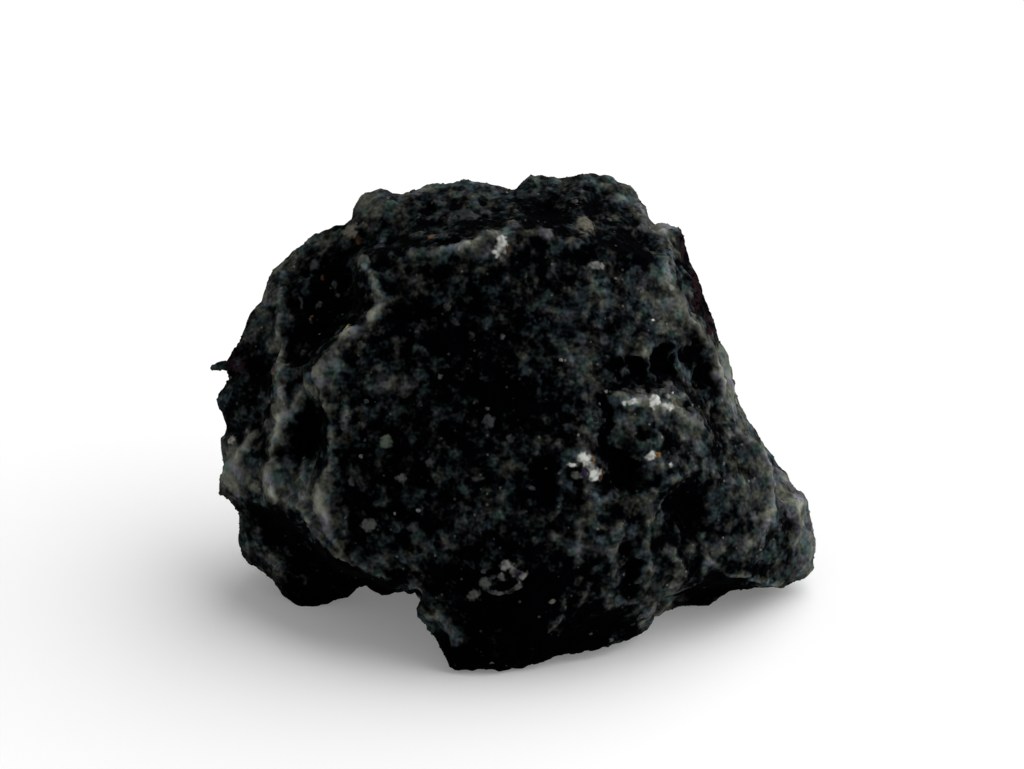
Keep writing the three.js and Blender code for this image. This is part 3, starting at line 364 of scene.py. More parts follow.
class MeteoriteGrainSettings(bpy.types.PropertyGroup):
    """Chondrules that stand out of the skin."""

    density: bpy.props.FloatProperty(name="Density", description="Chondrules per square metre", default=1.8e5)
    smallest: bpy.props.FloatProperty(name="Smallest radius", description="Radius of the smallest chondrule",
                                      default=0.09 * MM, unit="LENGTH")
    largest: bpy.props.FloatProperty(name="Largest radius", description="Radius of the largest chondrule",
                                     default=0.34 * MM, unit="LENGTH")
    seed: bpy.props.IntProperty(name="Seed", description="Draw of the chondrules' places", default=7)


class MeteoriteCrumbSettings(bpy.types.PropertyGroup):
    """Crumbs of matrix that make the skin granular."""

    density: bpy.props.FloatProperty(name="Density", description="Crumbs per square metre", default=2.6e6)
    smallest: bpy.props.FloatProperty(name="Smallest radius", description="Radius of the smallest crumb",
                                      default=0.1 * MM, unit="LENGTH")
    largest: bpy.props.FloatProperty(name="Largest radius", description="Radius of the largest crumb",
                                     default=0.24 * MM, unit="LENGTH")
    seed: bpy.props.IntProperty(name="Seed", description="Draw of the crumbs' places", default=3)


class MeteoriteStageSettings(bpy.types.PropertyGroup):
    """Floor, light and camera."""

    floor_size: bpy.props.FloatProperty(name="Floor size", description="Width of the floor", default=3.0,
                                        unit="LENGTH")
    dome_light: bpy.props.FloatProperty(name="Dome light", description="Strength of the even light", default=0.3)
    key_light: bpy.props.FloatProperty(name="Key light", description="Strength of the broad light from the right",
                                       default=3.4)
    key_angle: bpy.props.FloatProperty(name="Key breadth", description="Angle that the broad light spans",
                                       subtype="ANGLE", default=math.radians(100))
    floor_glow: bpy.props.FloatProperty(name="Floor glow", description="Light of the floor's own", default=0.16)
    lens: bpy.props.FloatProperty(name="Lens", description="Focal length", default=200, unit="CAMERA")


def front_places(points):
    """How far right, up and near points in metres are in the front view, in mm, as the photograph would show them."""
    arms = (points - CORE) / MM
    sine, cosine = math.sin(FRONT_TILT), math.cos(FRONT_TILT)
    near = -arms[:, 1] * cosine + arms[:, 2] * sine
    share = 1 / (1 - near * MM / VIEW_DISTANCE)
    return arms[:, 0] * share, (arms[:, 1] * sine + arms[:, 2] * cosine) * share, near


def facing_front(normals):
    return -normals[:, 1] * math.cos(FRONT_TILT) + normals[:, 2] * math.sin(FRONT_TILT)


def smooth_step(values, low, high):
    share = np.clip((values - low) / (high - low), 0, 1)
    return share * share * (3 - 2 * share)


def line_distance(right, up, line):
    """Distance in the front view from each point to a line of points, and how far along the line that is."""
    least = np.full(len(right), np.inf)
    along = np.zeros(len(right))
    pieces = len(line) - 1
    for index in range(pieces):
        start = np.array(line[index])
        way = np.array(line[index + 1]) - start
        share = np.clip(((right - start[0]) * way[0] + (up - start[1]) * way[1]) / way.dot(way), 0, 1)
        distance = np.hypot(right - start[0] - share * way[0], up - start[1] - share * way[1])
        closer = distance < least
        least[closer] = distance[closer]
        along[closer] = ((index + share) / pieces)[closer]
    return least, along


def read_points(mesh):
    points = np.empty(len(mesh.vertices) * 3, dtype=np.float32)
    mesh.vertices.foreach_get("co", points)
    return points.reshape(-1, 3).astype(np.float64)


def read_normals(mesh):
    normals = np.empty(len(mesh.vertices) * 3, dtype=np.float32)
    mesh.vertex_normals.foreach_get("vector", normals)
    return normals.reshape(-1, 3).astype(np.float64)


def write_points(mesh, points):
    mesh.vertices.foreach_set("co", points.astype(np.float32).ravel())
    mesh.update()


def write_attribute(mesh, name, values):
    mesh.attributes.new(name, "FLOAT", "POINT").data.foreach_set("value", values.astype(np.float32))


def write_colours(mesh, name, colours):
    with_alpha = np.concatenate([colours, np.ones((len(colours), 1))], axis=1).astype(np.float32)
    mesh.attributes.new(name, "FLOAT_COLOR", "POINT").data.foreach_set("color", with_alpha.ravel())


def new_object(name, mesh):
    piece = bpy.data.objects.new(name, mesh)
    bpy.context.scene.collection.objects.link(piece)
    return piece


def plain_mesh(piece):
    """The mesh that an object's modifiers make, as a mesh of its own. The modifiers are removed."""
    evaluated = piece.evaluated_get(bpy.context.evaluated_depsgraph_get())
    mesh = bpy.data.meshes.new_from_object(evaluated)
    piece.modifiers.clear()
    piece.data = mesh
    return mesh


def merged_copy(node):
    """A copy of a node's mesh whose faces share their corners."""
    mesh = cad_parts[node].data.copy()
    mesh.materials.clear()
    shape = bmesh.new()
    shape.from_mesh(mesh)
    bmesh.ops.remove_doubles(shape, verts=shape.verts, dist=1e-6)
    for face in shape.faces:
        face.smooth = True
    shape.to_mesh(mesh)
    shape.free()
    return mesh


def spread(values, edges, counts, passes):
    """Values of the corners, each evened out with its neighbours' some times over."""
    total = len(values)
    for _ in range(passes):
        pooled = np.stack([
            np.bincount(edges[:, 0], values[edges[:, 1], axis], total)
            + np.bincount(edges[:, 1], values[edges[:, 0], axis], total)
            for axis in range(values.shape[1])
        ], axis=1)
        values = 0.5 * values + 0.5 * pooled / counts[:, None]
    return values


def write_heights(mesh):
    """Stores how far each place stands out of the skin round it: finely as crest, and broadly as swell."""
    points = read_points(mesh)
    normals = read_normals(mesh)
    edges = np.empty(len(mesh.edges) * 2, dtype=np.int32)
    mesh.edges.foreach_get("vertices", edges)
    edges = edges.reshape(-1, 2)
    counts = np.bincount(edges.ravel(), minlength=len(points)).astype(np.float64)
    near = spread(points, edges, counts, 10)
    far = spread(near, edges, counts, 60)
    write_attribute(mesh, "crest", ((points - near) * normals).sum(axis=1) / (0.06 * MM))
    write_attribute(mesh, "swell", ((near - far) * normals).sum(axis=1) / (0.2 * MM))


def wander(points, size, reach):
    """A smooth random way off for each point, in mm: it changes over size mm and is about reach mm long."""
    ways = [noise.noise_vector(Vector(point)) for point in points / (size * MM)]
    return np.array(ways) * reach


def carve_front(mesh):
    """Raises ridges and sinks hollows where the front has them, and stores how pale each place is: the stone's own
    tone, with painted highlights on the ridge crests and painted shade in the hollows, on the feet and under the
    overhangs.
    """
    points = read_points(mesh)
    normals = read_normals(mesh)
    right, up, near = front_places(points)
    seen = smooth_step(facing_front(normals), -0.1, 0.3) * smooth_step(near, -6.5, -4.5)
    lit = smooth_step(facing_front(normals), -0.4, 0.0) * smooth_step(near, -9.0, -7.0)
    strayed = wander(points, 1.6, 0.35) + wander(points, 0.6, 0.12)
    right = right + strayed[:, 0]
    up = up + strayed[:, 2]
    rise = np.zeros(len(points))
    painted_light_and_tone = np.zeros(len(points))
    uneven = 0.8 + 0.8 * wander(points + CORE, 1.1, 1.0)[:, 1]
    ragged = 0.4 * (uneven - 0.8) + 0.8 * wander(points - CORE, 0.5, 1.0)[:, 1]
    for height, width, paleness, line in RIDGES:
        distance, along = line_distance(right, up, line)
        taper = smooth_step(along, -0.05, 0.15) * smooth_step(1 - along, -0.05, 0.15)
        rise += 0.85 * height * np.exp(-((distance / (width * 0.9)) ** 2)) * (0.35 + 0.65 * taper)
        crest = np.exp(-((distance / (width * 0.65)) ** 2)) * np.clip(uneven, 0.3, 1.2)
        # The ridge's crest is painted pale: a painted highlight along it.
        painted_light_and_tone = np.maximum(painted_light_and_tone, 0.165 * paleness * crest)
    for (x, y), half_width, half_height, depth, painted_shade in HOLLOWS:
        far = np.hypot((right - x) / half_width, (up - y) / half_height) + ragged
        rise -= depth * smooth_step(1.35 - far, 0, 0.9)
        # The hollow is painted dark as shade, also where it has no depth.
        painted_light_and_tone -= 0.11 * painted_shade * smooth_step(1.5 - far, 0, 1.1)
    rim = smooth_step(0.6 - np.abs(facing_front(normals)), 0, 0.3) * MM
    moved = sum(out * np.exp(-(((right - x) ** 2 + (up - y) ** 2) / radius**2)) for (x, y), radius, out in KNOBS)
    # Stretches paint the stone's own paler and darker tone, and also painted rim light and painted shade.
    for (x, y), half_width, half_height, paleness in STRETCHES:
        far = np.hypot((right - x) / half_width, (up - y) / half_height)
        painted_light_and_tone += paleness * np.exp(-(far**2))
    write_points(mesh, points + normals * (rise * seen * MM + moved * rim)[:, None])
    elsewhere = 0.03 + wander(points, 6.0, 0.12)[:, 0]
    # The paleness stored here holds the stone's own tone, painted highlights and painted shade.
    write_attribute(mesh, "painted_light_and_tone", painted_light_and_tone * lit + elsewhere * (1 - lit))
    write_attribute(mesh, "front", smooth_step(facing_front(normals), -0.5, -0.1) * smooth_step(near, -14, -11))


def nearest_skin(mesh):
    """A function that tells how near, in mm, the foremost skin is at a place of the front view."""
    sine, cosine = math.sin(FRONT_TILT), math.cos(FRONT_TILT)
    backward = Vector((0, -cosine, sine))
    eye = Vector(CORE) + backward * VIEW_DISTANCE
    skin = BVHTree.FromPolygons(read_points(mesh).tolist(), [tuple(face.vertices) for face in mesh.polygons])

    def near_at(place):
        aim = Vector(CORE) + Vector((place[0], place[1] * sine, place[1] * cosine)) * MM
        hit = skin.ray_cast(eye, aim - eye)[0] or skin.find_nearest(aim)[0]
        return (hit - Vector(CORE)).dot(backward) / MM

    return near_at


def place_inclusions(mesh):
    """Stores where the inclusions lie: 1 in the middle of each, 0 at its edge, below 0 outside, and its colour."""
    points = read_points(mesh)
    normals = read_normals(mesh)
    right, up, near = front_places(points)
    near_at = nearest_skin(mesh)
    inclusion = np.full(len(points), -2.0)
    colours = np.tile(np.array(DIM), (len(points), 1))
    for place, half_width, half_height, turn, colour in INCLUSIONS:
        sine, cosine = math.sin(math.radians(turn)), math.cos(math.radians(turn))
        across = ((right - place[0]) * cosine + (up - place[1]) * sine) / half_width
        along = ((up - place[1]) * cosine - (right - place[0]) * sine) / half_height
        deep = (near - near_at(place)) / (1.8 * max(half_width, half_height))
        inside = 1 - np.sqrt(across**2 + along**2 + deep**2)
        closer = inside > inclusion
        inclusion[closer] = inside[closer]
        colours[closer] = colour
    rust = np.zeros(len(points))
    for place, half_width, half_height in RUST:
        far = np.hypot((right - place[0]) / half_width, (up - place[1]) / half_height)
        deep = (near - near_at(place)) / 2.5
        rust = np.maximum(rust, smooth_step(1.5 - np.hypot(far, deep), 0, 1))
    write_points(mesh, points + normals * (smooth_step(inclusion, -0.3, 0.6) * 0.12 * MM)[:, None])
    write_attribute(mesh, "inclusion", inclusion)
    write_colours(mesh, "inclusion_colour", colours)
    write_attribute(mesh, "rust", rust)


def texture(tree, kind, place, size, settings=None, **sockets):
    """A noise or Voronoi texture whose features are about size metres broad."""
    inputs = {"Vector": place, "Scale": 1 / size}
    inputs.update({name.replace("_", " ").title(): value for name, value in sockets.items()})
    return tree.node(kind, settings, inputs)


def drawn_out(tree, place):
    """Places for a texture that is drawn out away from the viewer, so that it looks even on the sloping shelf."""
    turned = tree.node("ShaderNodeVectorRotate", {"rotation_type": "X_AXIS"}, {"Vector": place, "Angle": FRONT_TILT})
    return tree.node("ShaderNodeVectorMath", {"operation": "MULTIPLY"}, {0: turned["Vector"], 1: (1.0, 0.55, 1.0)})[0]


def geometry_group(name, inputs):
    """A group of geometry nodes with the named inputs that a modifier sets."""
    group = bpy.data.node_groups.new(name, "GeometryNodeTree")
    group.interface.new_socket("Geometry", in_out="OUTPUT", socket_type="NodeSocketGeometry")
    group.interface.new_socket("Geometry", in_out="INPUT", socket_type="NodeSocketGeometry")
    for label, kind in inputs.items():
        group.interface.new_socket(label, in_out="INPUT", socket_type="NodeSocket" + kind)
    return group


def run_group(piece, group, values):
    """The plain mesh that a group of geometry nodes makes of a piece, with its named inputs set."""
    modifier = piece.modifiers.new(group.name, "NODES")
    modifier.node_group = group
    for item in group.interface.items_tree:
        if item.name in values:
            modifier[item.identifier] = values[item.name]
    return plain_mesh(piece)


def relief_tree(material):
    """Geometry nodes that roughen the skin along its normals."""
    group = geometry_group("Broken surface", {
        "Lump size": "Float", "Lump rise": "Float", "Crumb size": "Float", "Crumb rise": "Float",
        "Pit size": "Float", "Pit depth": "Float", "Grit size": "Float", "Grit rise": "Float",
    })
    tree = Tree(group)
    given = tree.node("NodeGroupInput")
    place = drawn_out(tree, tree.node("GeometryNodeInputPosition")["Position"])

    def waves(size, detail=3.0, roughness=0.55, shift=0.0):
        moved = tree.node("ShaderNodeVectorMath", {"operation": "ADD"}, {0: place, 1: (shift, shift * 0.7, -shift)})[0]
        sockets = {"Vector": moved, "Scale": 1 / given[size], "Detail": detail, "Roughness": roughness}
        return tree.node("ShaderNodeTexNoise", {"noise_dimensions": "3D"}, sockets)["Fac"]

    lumps = waves("Lump size") - 0.5
    crumbs = waves("Crumb size", detail=4, roughness=0.62, shift=0.013).step(0.43, 0.6)
    pits = waves("Pit size", detail=1, shift=0.031).step(0.56, 0.74)
    grit = waves("Grit size", detail=1, shift=0.053) - 0.5
    knobs = tree.node("ShaderNodeTexVoronoi", {"feature": "SMOOTH_F1"},
                      {"Vector": place, "Scale": 1 / given["Crumb size"], "Smoothness": 0.4})["Distance"]
    height = (lumps * given["Lump rise"] + (crumbs - 0.5) * given["Crumb rise"] - pits * given["Pit depth"]
              + grit * given["Grit rise"] + (0.4 - knobs) * given["Crumb rise"])
    normal = tree.node("GeometryNodeInputNormal")["Normal"]
    offset = tree.node("ShaderNodeVectorMath", {"operation": "SCALE"}, {0: normal, "Scale": height})[0]
    moved = tree.node("GeometryNodeSetPosition", {}, {"Geometry": given["Geometry"], "Offset": offset})["Geometry"]
    joined = tree.node("GeometryNodeRealizeInstances", {}, {"Geometry": moved})["Geometry"]
    dressed = tree.node("GeometryNodeSetMaterial", {}, {"Geometry": joined, "Material": material})["Geometry"]
    tree.node("NodeGroupOutput", {}, {"Geometry": dressed})
    return group


def matrix_material(settings):
    """Charcoal-dark matrix with specks and inclusions: black in the pits and grey on the crumbs and crests, partly from
    painted shade in the pits, creases and hollows and painted highlight on the crests.
    """
    material = bpy.data.materials.new("chondrite_matrix")
    material.use_nodes = True
    material.node_tree.nodes.clear()
    tree = Tree(material.node_tree)
    place = tree.node("ShaderNodeTexCoord")["Object"]
    drawn = drawn_out(tree, place)

    def attribute(name, output="Fac"):
        return tree.node("ShaderNodeAttribute", {"attribute_name": name}, {})[output]

    front = attribute("front")

    def pattern(size, output="Fac", **sockets):
        """Noise that is drawn out on the front, and even on the other sides."""
        return tree.mix(front, *(texture(tree, "ShaderNodeTexNoise", at, size, **sockets)[output] for at in (place, drawn)))

    broad = pattern(5.5 * MM, detail=2.0) - 0.5
    patches = pattern(1.5 * MM, detail=1.0) - 0.5
    blotches = pattern(0.9 * MM, detail=2.0, roughness=0.55)
    crumbs = pattern(0.5 * MM, detail=1.0) - 0.5
    grit = pattern(0.24 * MM, detail=0.0) - 0.5
    crest = attribute("crest")
    swell = attribute("swell")
    painted_light_and_tone = attribute("painted_light_and_tone")
    tone = attribute("tone")
    # How bright a place looks, of 1: the eye's scale, so that light and dark lie evenly round the middle.
    mottle = broad * 0.14 + patches * 0.18 + blotches.step(0.4, 0.66) * 0.09
    grain = crumbs * 0.16 + grit * 0.1
    # crest and swell make raised places paler and creases and hollows darker, which is painted shade; the stored
    # paleness adds painted highlights and painted shade.
    looks = (-0.005 + mottle * (1 - painted_light_and_tone.step(0.02, 0.25) * 0.45) + grain * (1 - painted_light_and_tone.step(0.08, 0.3) * 0.5)
             + crest * 0.012 + swell * 0.018 + tone * 0.01 + painted_light_and_tone * (1 + patches * 0.6))
    bright = looks.step_linear(0, 1) ** 2.2 * 2.9

    tint = tree.node("ShaderNodeSeparateColor", {}, {"Color": pattern(1.0 * MM, "Color", detail=2.0)})
    cool = tree.mix(tint["Green"].step(0.42, 0.58), (0.7, 1.0, 1.2), (0.68, 1.1, 0.96))
    neutral = tree.mix(tint["Blue"].step(0.38, 0.54), (0.98, 0.99, 1.1), (1.0, 1.05, 0.84))
    hue = tree.mix((tint["Red"] + painted_light_and_tone * 0.9).step(0.44, 0.62), cool, neutral)
    pale_colour = tree.node("ShaderNodeVectorMath", {"operation": "SCALE"}, {0: hue, "Scale": bright})[0]
    colour = tree.node("ShaderNodeVectorMath", {"operation": "ADD"}, {0: pale_colour, 1: settings.dark[:]})[0]
    pale = looks.step(0.0, 0.2)
    rust_share = attribute("rust") * (crumbs + grit * 0.5).step(-0.08, 0.12)
    colour = tree.mix(rust_share, colour, (0.013, 0.0045, 0.006))

    cells = texture(tree, "ShaderNodeTexVoronoi", drawn, 0.42 * MM)
    luck = tree.node("ShaderNodeSeparateColor", {}, {"Color": cells["Color"]})
    speck = luck["Red"].step(0.9, 0.94) * (1 - cells["Distance"].step(0.12, 0.3)) * (0.25 + pale.step(0.0, 0.5) * 0.75)
    speck_colour = tree.mix(luck["Green"], (0.05, 0.055, 0.052), (0.15, 0.145, 0.125))
    colour = tree.mix(speck, colour, speck_colour)

    edge = attribute("inclusion") + crumbs * 1.1 + grit * 0.5
    inclusion = edge.step(-0.2, 0.45)
    grainy = tree.mix((grit + crumbs).step(-0.2, 0.15), (0.6, 0.59, 0.58), (1, 1, 1))
    fill = tree.node("ShaderNodeMix", {"data_type": "RGBA", "blend_type": "MULTIPLY"},
                     {0: 1.0, 6: attribute("inclusion_colour", "Color"), 7: grainy})[2]
    colour = tree.mix(inclusion, colour, fill)

    bump_height = crumbs * 0.7 + grit * 0.4 + pale * 0.3
    bump = tree.node("ShaderNodeBump", {}, {"Strength": 0.3, "Distance": 0.07 * MM, "Height": bump_height})["Normal"]
    shader = tree.node("ShaderNodeBsdfPrincipled", {},
                       {"Base Color": colour, "Roughness": 1.0 - inclusion * 0.3, "Specular IOR Level": 0.01,
                        "Normal": bump})
    tree.node("ShaderNodeOutputMaterial", {}, {"Surface": shader["BSDF"]})
    return material


def grain_material():
    """Chondrules: dull grey to beige, each with a tone of its own."""
    material = bpy.data.materials.new("chondrule_silicate")
    material.use_nodes = True
    material.node_tree.nodes.clear()
    tree = Tree(material.node_tree)
    place = tree.node("ShaderNodeTexCoord")["Object"]
    tone = tree.node("ShaderNodeAttribute", {"attribute_name": "tone"}, {})["Fac"]
    grit = texture(tree, "ShaderNodeTexNoise", place, 0.16 * MM, detail=3.0, roughness=0.6)["Fac"]
    painted_light_and_tone = tree.node("ShaderNodeAttribute", {"attribute_name": "painted_light_and_tone"}, {})["Fac"]
    # The chondrules take the skin's stored paleness, with its painted highlights and painted shade.
    looks = 0.06 + tone**4 * 0.1 + painted_light_and_tone * 0.9
    dusty = tree.node("ShaderNodeVectorMath", {"operation": "SCALE"},
                      {0: (0.94, 1.0, 1.0), "Scale": looks.step_linear(0, 1) ** 2.2 * 2.9})[0]
    bright = tree.mix(tone.step(0.96, 1.0), dusty, (0.12, 0.12, 0.1))
    colour = tree.mix(grit.step(0.35, 0.65), tree.mix(0.6, bright, (0.001, 0.001, 0.0015)), bright)
    bump = tree.node("ShaderNodeBump", {}, {"Strength": 0.5, "Distance": 0.05 * MM, "Height": grit})["Normal"]
    shader = tree.node("ShaderNodeBsdfPrincipled", {},
                       {"Base Color": colour, "Roughness": 1.0, "Specular IOR Level": 0.03, "Normal": bump})
    tree.node("ShaderNodeOutputMaterial", {}, {"Surface": shader["BSDF"]})
    return material


def strewing_tree(name, material, shape, sink):
    """Geometry nodes that strew small bodies over the skin, partly sunk into it.

    shape makes one body from the tree, and sink is how deep it lies, of its height.
    """
    group = geometry_group(name, {
        "Skin": "Object", "Density": "Float", "Smallest radius": "Float", "Largest radius": "Float", "Seed": "Int",
    })
    tree = Tree(group)
    given = tree.node("NodeGroupInput")
    ground = tree.node("GeometryNodeObjectInfo", {}, {"Object": given["Skin"]})["Geometry"]
    inclusion = tree.node("GeometryNodeInputNamedAttribute", {"data_type": "FLOAT"}, {"Name": "inclusion"})["Attribute"]
    bare = tree.node("FunctionNodeCompare", {"operation": "LESS_THAN"}, {0: inclusion, 1: -0.35})["Result"]
    strewn = tree.node("GeometryNodeDistributePointsOnFaces", {},
                       {"Mesh": ground, "Selection": bare, "Density": given["Density"], "Seed": given["Seed"]})

    def chance(low, high, shift):
        return tree.node("FunctionNodeRandomValue", {"data_type": "FLOAT"},
                         {2: low, 3: high, "Seed": given["Seed"] + shift})[1]

    luck = chance(0.0, 1.0, 1)
    radius = given["Smallest radius"] + (given["Largest radius"] - given["Smallest radius"]) * luck**2.5
    flat = radius * chance(0.5, 0.9, 2)
    size = tree.node("ShaderNodeCombineXYZ", {}, {"X": radius, "Y": radius * chance(0.65, 1.0, 3), "Z": flat})["Vector"]
    sunk = tree.node("ShaderNodeVectorMath", {"operation": "SCALE"}, {0: strewn["Normal"], "Scale": flat * -sink})[0]
    lowered = tree.node("GeometryNodeSetPosition", {}, {"Geometry": strewn["Points"], "Offset": sunk})["Geometry"]
    turn = tree.node("ShaderNodeCombineXYZ", {}, {"Z": chance(0.0, math.tau, 5)})["Vector"]
    turned = tree.node("FunctionNodeRotateRotation", {"rotation_space": "LOCAL"},
                       {"Rotation": strewn["Rotation"], "Rotate By": turn})["Rotation"]
    placed = tree.node("GeometryNodeInstanceOnPoints", {},
                       {"Points": lowered, "Instance": shape(tree), "Rotation": turned, "Scale": size})["Instances"]
    toned = tree.node("GeometryNodeStoreNamedAttribute", {"data_type": "FLOAT", "domain": "INSTANCE"},
                      {"Geometry": placed, "Name": "tone", "Value": chance(0.0, 1.0, 4)})["Geometry"]
    bodies = tree.node("GeometryNodeRealizeInstances", {}, {"Geometry": toned})["Geometry"]
    place = tree.node("GeometryNodeInputPosition")["Position"]
    bends = tree.node("ShaderNodeTexNoise", {}, {"Vector": place, "Scale": 1 / (0.3 * MM), "Detail": 0.0})["Color"]
    centred = tree.node("ShaderNodeVectorMath", {"operation": "SUBTRACT"}, {0: bends, 1: (0.5, 0.5, 0.5)})[0]
    bent = tree.node("ShaderNodeVectorMath", {"operation": "SCALE"}, {0: centred, "Scale": 0.15 * MM})[0]
    uneven = tree.node("GeometryNodeSetPosition", {}, {"Geometry": bodies, "Offset": bent})["Geometry"]
    smooth = tree.node("GeometryNodeSetShadeSmooth", {}, {"Geometry": uneven})["Geometry"]
    joined = tree.node("GeometryNodeRealizeInstances", {}, {"Geometry": smooth})["Geometry"]
    dressed = tree.node("GeometryNodeSetMaterial", {}, {"Geometry": joined, "Material": material})["Geometry"]
    tree.node("NodeGroupOutput", {}, {"Geometry": dressed})
    return group


def ball(tree):
    return tree.node("GeometryNodeMeshUVSphere", {}, {"Segments": 8, "Rings": 5, "Radius": 1.0})["Mesh"]


def crumb(tree):
    return tree.node("GeometryNodeMeshIcoSphere", {}, {"Subdivisions": 1, "Radius": 1.0})["Mesh"]


def strewn_piece(name, material, settings, shape, sink):
    """A piece of small bodies strewn over the skin."""
    piece = new_object(name, bpy.data.meshes.new(name))
    mesh = run_group(piece, strewing_tree(name, material, shape, sink), {
        "Skin": bpy.data.objects["stone_skin"], "Density": settings.density, "Smallest radius": settings.smallest,
        "Largest radius": settings.largest, "Seed": settings.seed,
    })
    keep_above_ground(mesh)
    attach(piece, "root")


def keep_above_ground(mesh):
    """Nothing of the stone reaches below the surface that it stands on."""
    points = read_points(mesh)
    points[:, 2] = np.maximum(points[:, 2], 0)
    write_points(mesh, points)


class METEORITE_OT_skin(bpy.types.Operator):
    """Builds the stone's broken skin round its solid"""

    bl_idname = "meteorite.skin"
    bl_label = "Build the skin"

    def execute(self, context):
        settings = context.scene.meteorite_skin
        skin = new_object("stone_skin", merged_copy("stone"))
        refined = skin.modifiers.new("Finer faces", "SUBSURF")
        refined.levels = 2
        refined.render_levels = 2
        mesh = plain_mesh(skin)
        carve_front(mesh)
        place_inclusions(mesh)
        mesh = run_group(skin, relief_tree(matrix_material(settings)), {
            "Lump size": settings.lump_size, "Lump rise": settings.lump_rise,
            "Crumb size": settings.crumb_size, "Crumb rise": settings.crumb_rise,
            "Pit size": settings.pit_size, "Pit depth": settings.pit_depth,
            "Grit size": settings.grit_size, "Grit rise": settings.grit_rise,
        })
        keep_above_ground(mesh)
        write_heights(mesh)
        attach(skin, "root")
        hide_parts("stone")
        return {"FINISHED"}


class METEORITE_OT_crumbs(bpy.types.Operator):
    """Strews crumbs of matrix over the skin"""

    bl_idname = "meteorite.crumbs"
    bl_label = "Strew the crumbs"

    def execute(self, context):
        material = bpy.data.materials["chondrite_matrix"]
        strewn_piece("matrix_crumbs", material, context.scene.meteorite_crumbs, crumb, 0.55)
        return {"FINISHED"}


class METEORITE_OT_chondrules(bpy.types.Operator):
    """Strews the chondrules over the skin"""

    bl_idname = "meteorite.chondrules"
    bl_label = "Strew the chondrules"

    def execute(self, context):
        strewn_piece("chondrules", grain_material(), context.scene.meteorite_grains, ball, 0.4)
        return {"FINISHED"}


class METEORITE_OT_stage(bpy.types.Operator):
    """Makes the floor, the light and the camera"""

    bl_idname = "meteorite.stage"
    bl_label = "Make the stage"

    def execute(self, context):
        settings = context.scene.meteorite_stage
        make_floor(settings.floor_size, settings.floor_glow)
        make_light(settings)
        make_camera(settings.lens)
        return {"FINISHED"}


def make_floor(size, glow):
    mesh = bpy.data.meshes.new("floor")
    half = size / 2
    mesh.from_pydata([(-half, -half, 0), (half, -half, 0), (half, half, 0), (-half, half, 0)], [], [(0, 1, 2, 3)])
    floor = new_object("floor", mesh)
    material = bpy.data.materials.new("pale_floor")
    material.use_nodes = True
    shader = material.node_tree.nodes["Principled BSDF"]
    shader.inputs["Base Color"].default_value = (0.86, 0.86, 0.86, 1)
    shader.inputs["Roughness"].default_value = 1.0
    shader.inputs["Specular IOR Level"].default_value = 0.0
    shader.inputs["Emission Color"].default_value = (1, 1, 1, 1)
    shader.inputs["Emission Strength"].default_value = glow
    mesh.materials.append(material)


def make_light(settings):
    world = bpy.data.worlds.new("studio")
    world.use_nodes = True
    world.node_tree.nodes["Background"].inputs["Color"].default_value = (1, 1, 1, 1)
    world.node_tree.nodes["Background"].inputs["Strength"].default_value = settings.dome_light
    bpy.context.scene.world = world
    lamp = bpy.data.lights.new("key", "SUN")
    lamp.angle = settings.key_angle
    lamp.energy = settings.key_light
    key = bpy.data.objects.new("key", lamp)
    key.location = Vector((0.7, 0.25, 0.67)) * 0.3
    key.rotation_euler = key.location.to_track_quat("Z", "Y").to_euler()
    bpy.context.scene.collection.objects.link(key)
    scene = bpy.context.scene
    scene.view_settings.view_transform = "Standard"
    scene.view_settings.look = "None"


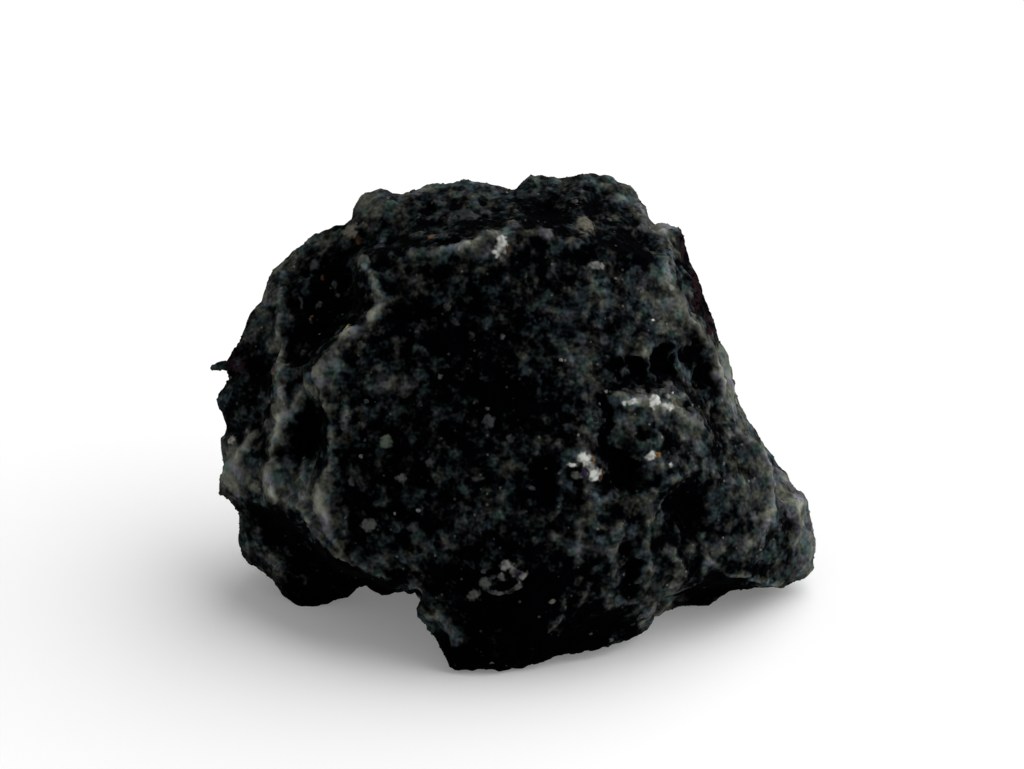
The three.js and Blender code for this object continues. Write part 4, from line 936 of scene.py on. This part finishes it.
def make_camera(lens):
    """The camera looks at the stone as the photograph does, down by FRONT_TILT."""
    data = bpy.data.cameras.new("camera")
    data.lens = lens
    data.sensor_width = 36
    data.clip_start = 0.01
    camera = bpy.data.objects.new("camera", data)
    backward = Vector((0, -math.cos(FRONT_TILT), math.sin(FRONT_TILT)))
    upward = Vector((0, math.sin(FRONT_TILT), math.cos(FRONT_TILT)))
    aim = Vector(CORE) + Vector((-0.333 * MM, 0, 0)) + upward * 2.433 * MM
    camera.location = aim + backward * VIEW_DISTANCE
    camera.rotation_euler = (math.pi / 2 - FRONT_TILT, 0, 0)
    bpy.context.scene.collection.objects.link(camera)
    bpy.context.scene.camera = camera


class METEORITE_PT_panel(bpy.types.Panel):
    """Lists the steps that build the meteorite"""

    bl_idname = "METEORITE_PT_panel"
    bl_label = "Meteorite"
    bl_space_type = "VIEW_3D"
    bl_region_type = "UI"
    bl_category = "Meteorite"

    def draw(self, context):
        scene = context.scene
        groups = [
            (scene.meteorite_skin, METEORITE_OT_skin),
            (scene.meteorite_crumbs, METEORITE_OT_crumbs),
            (scene.meteorite_grains, METEORITE_OT_chondrules),
            (scene.meteorite_stage, METEORITE_OT_stage),
        ]
        for settings, operator in groups:
            box = self.layout.box()
            for name in settings.__annotations__:
                box.prop(settings, name)
            box.operator(operator.bl_idname)


CLASSES = [
    MeteoriteSkinSettings,
    MeteoriteCrumbSettings,
    MeteoriteGrainSettings,
    MeteoriteStageSettings,
    METEORITE_OT_skin,
    METEORITE_OT_crumbs,
    METEORITE_OT_chondrules,
    METEORITE_OT_stage,
    METEORITE_PT_panel,
]


def register():
    for item in CLASSES:
        bpy.utils.register_class(item)
    bpy.types.Scene.meteorite_skin = bpy.props.PointerProperty(type=MeteoriteSkinSettings)
    bpy.types.Scene.meteorite_crumbs = bpy.props.PointerProperty(type=MeteoriteCrumbSettings)
    bpy.types.Scene.meteorite_grains = bpy.props.PointerProperty(type=MeteoriteGrainSettings)
    bpy.types.Scene.meteorite_stage = bpy.props.PointerProperty(type=MeteoriteStageSettings)


def unregister():
    del bpy.types.Scene.meteorite_stage
    del bpy.types.Scene.meteorite_grains
    del bpy.types.Scene.meteorite_crumbs
    del bpy.types.Scene.meteorite_skin
    for item in reversed(CLASSES):
        bpy.utils.unregister_class(item)


def main():
    register()
    bpy.ops.meteorite.skin()
    bpy.ops.meteorite.crumbs()
    bpy.ops.meteorite.chondrules()
    bpy.ops.meteorite.stage()


if __name__ == "__main__":
    main()
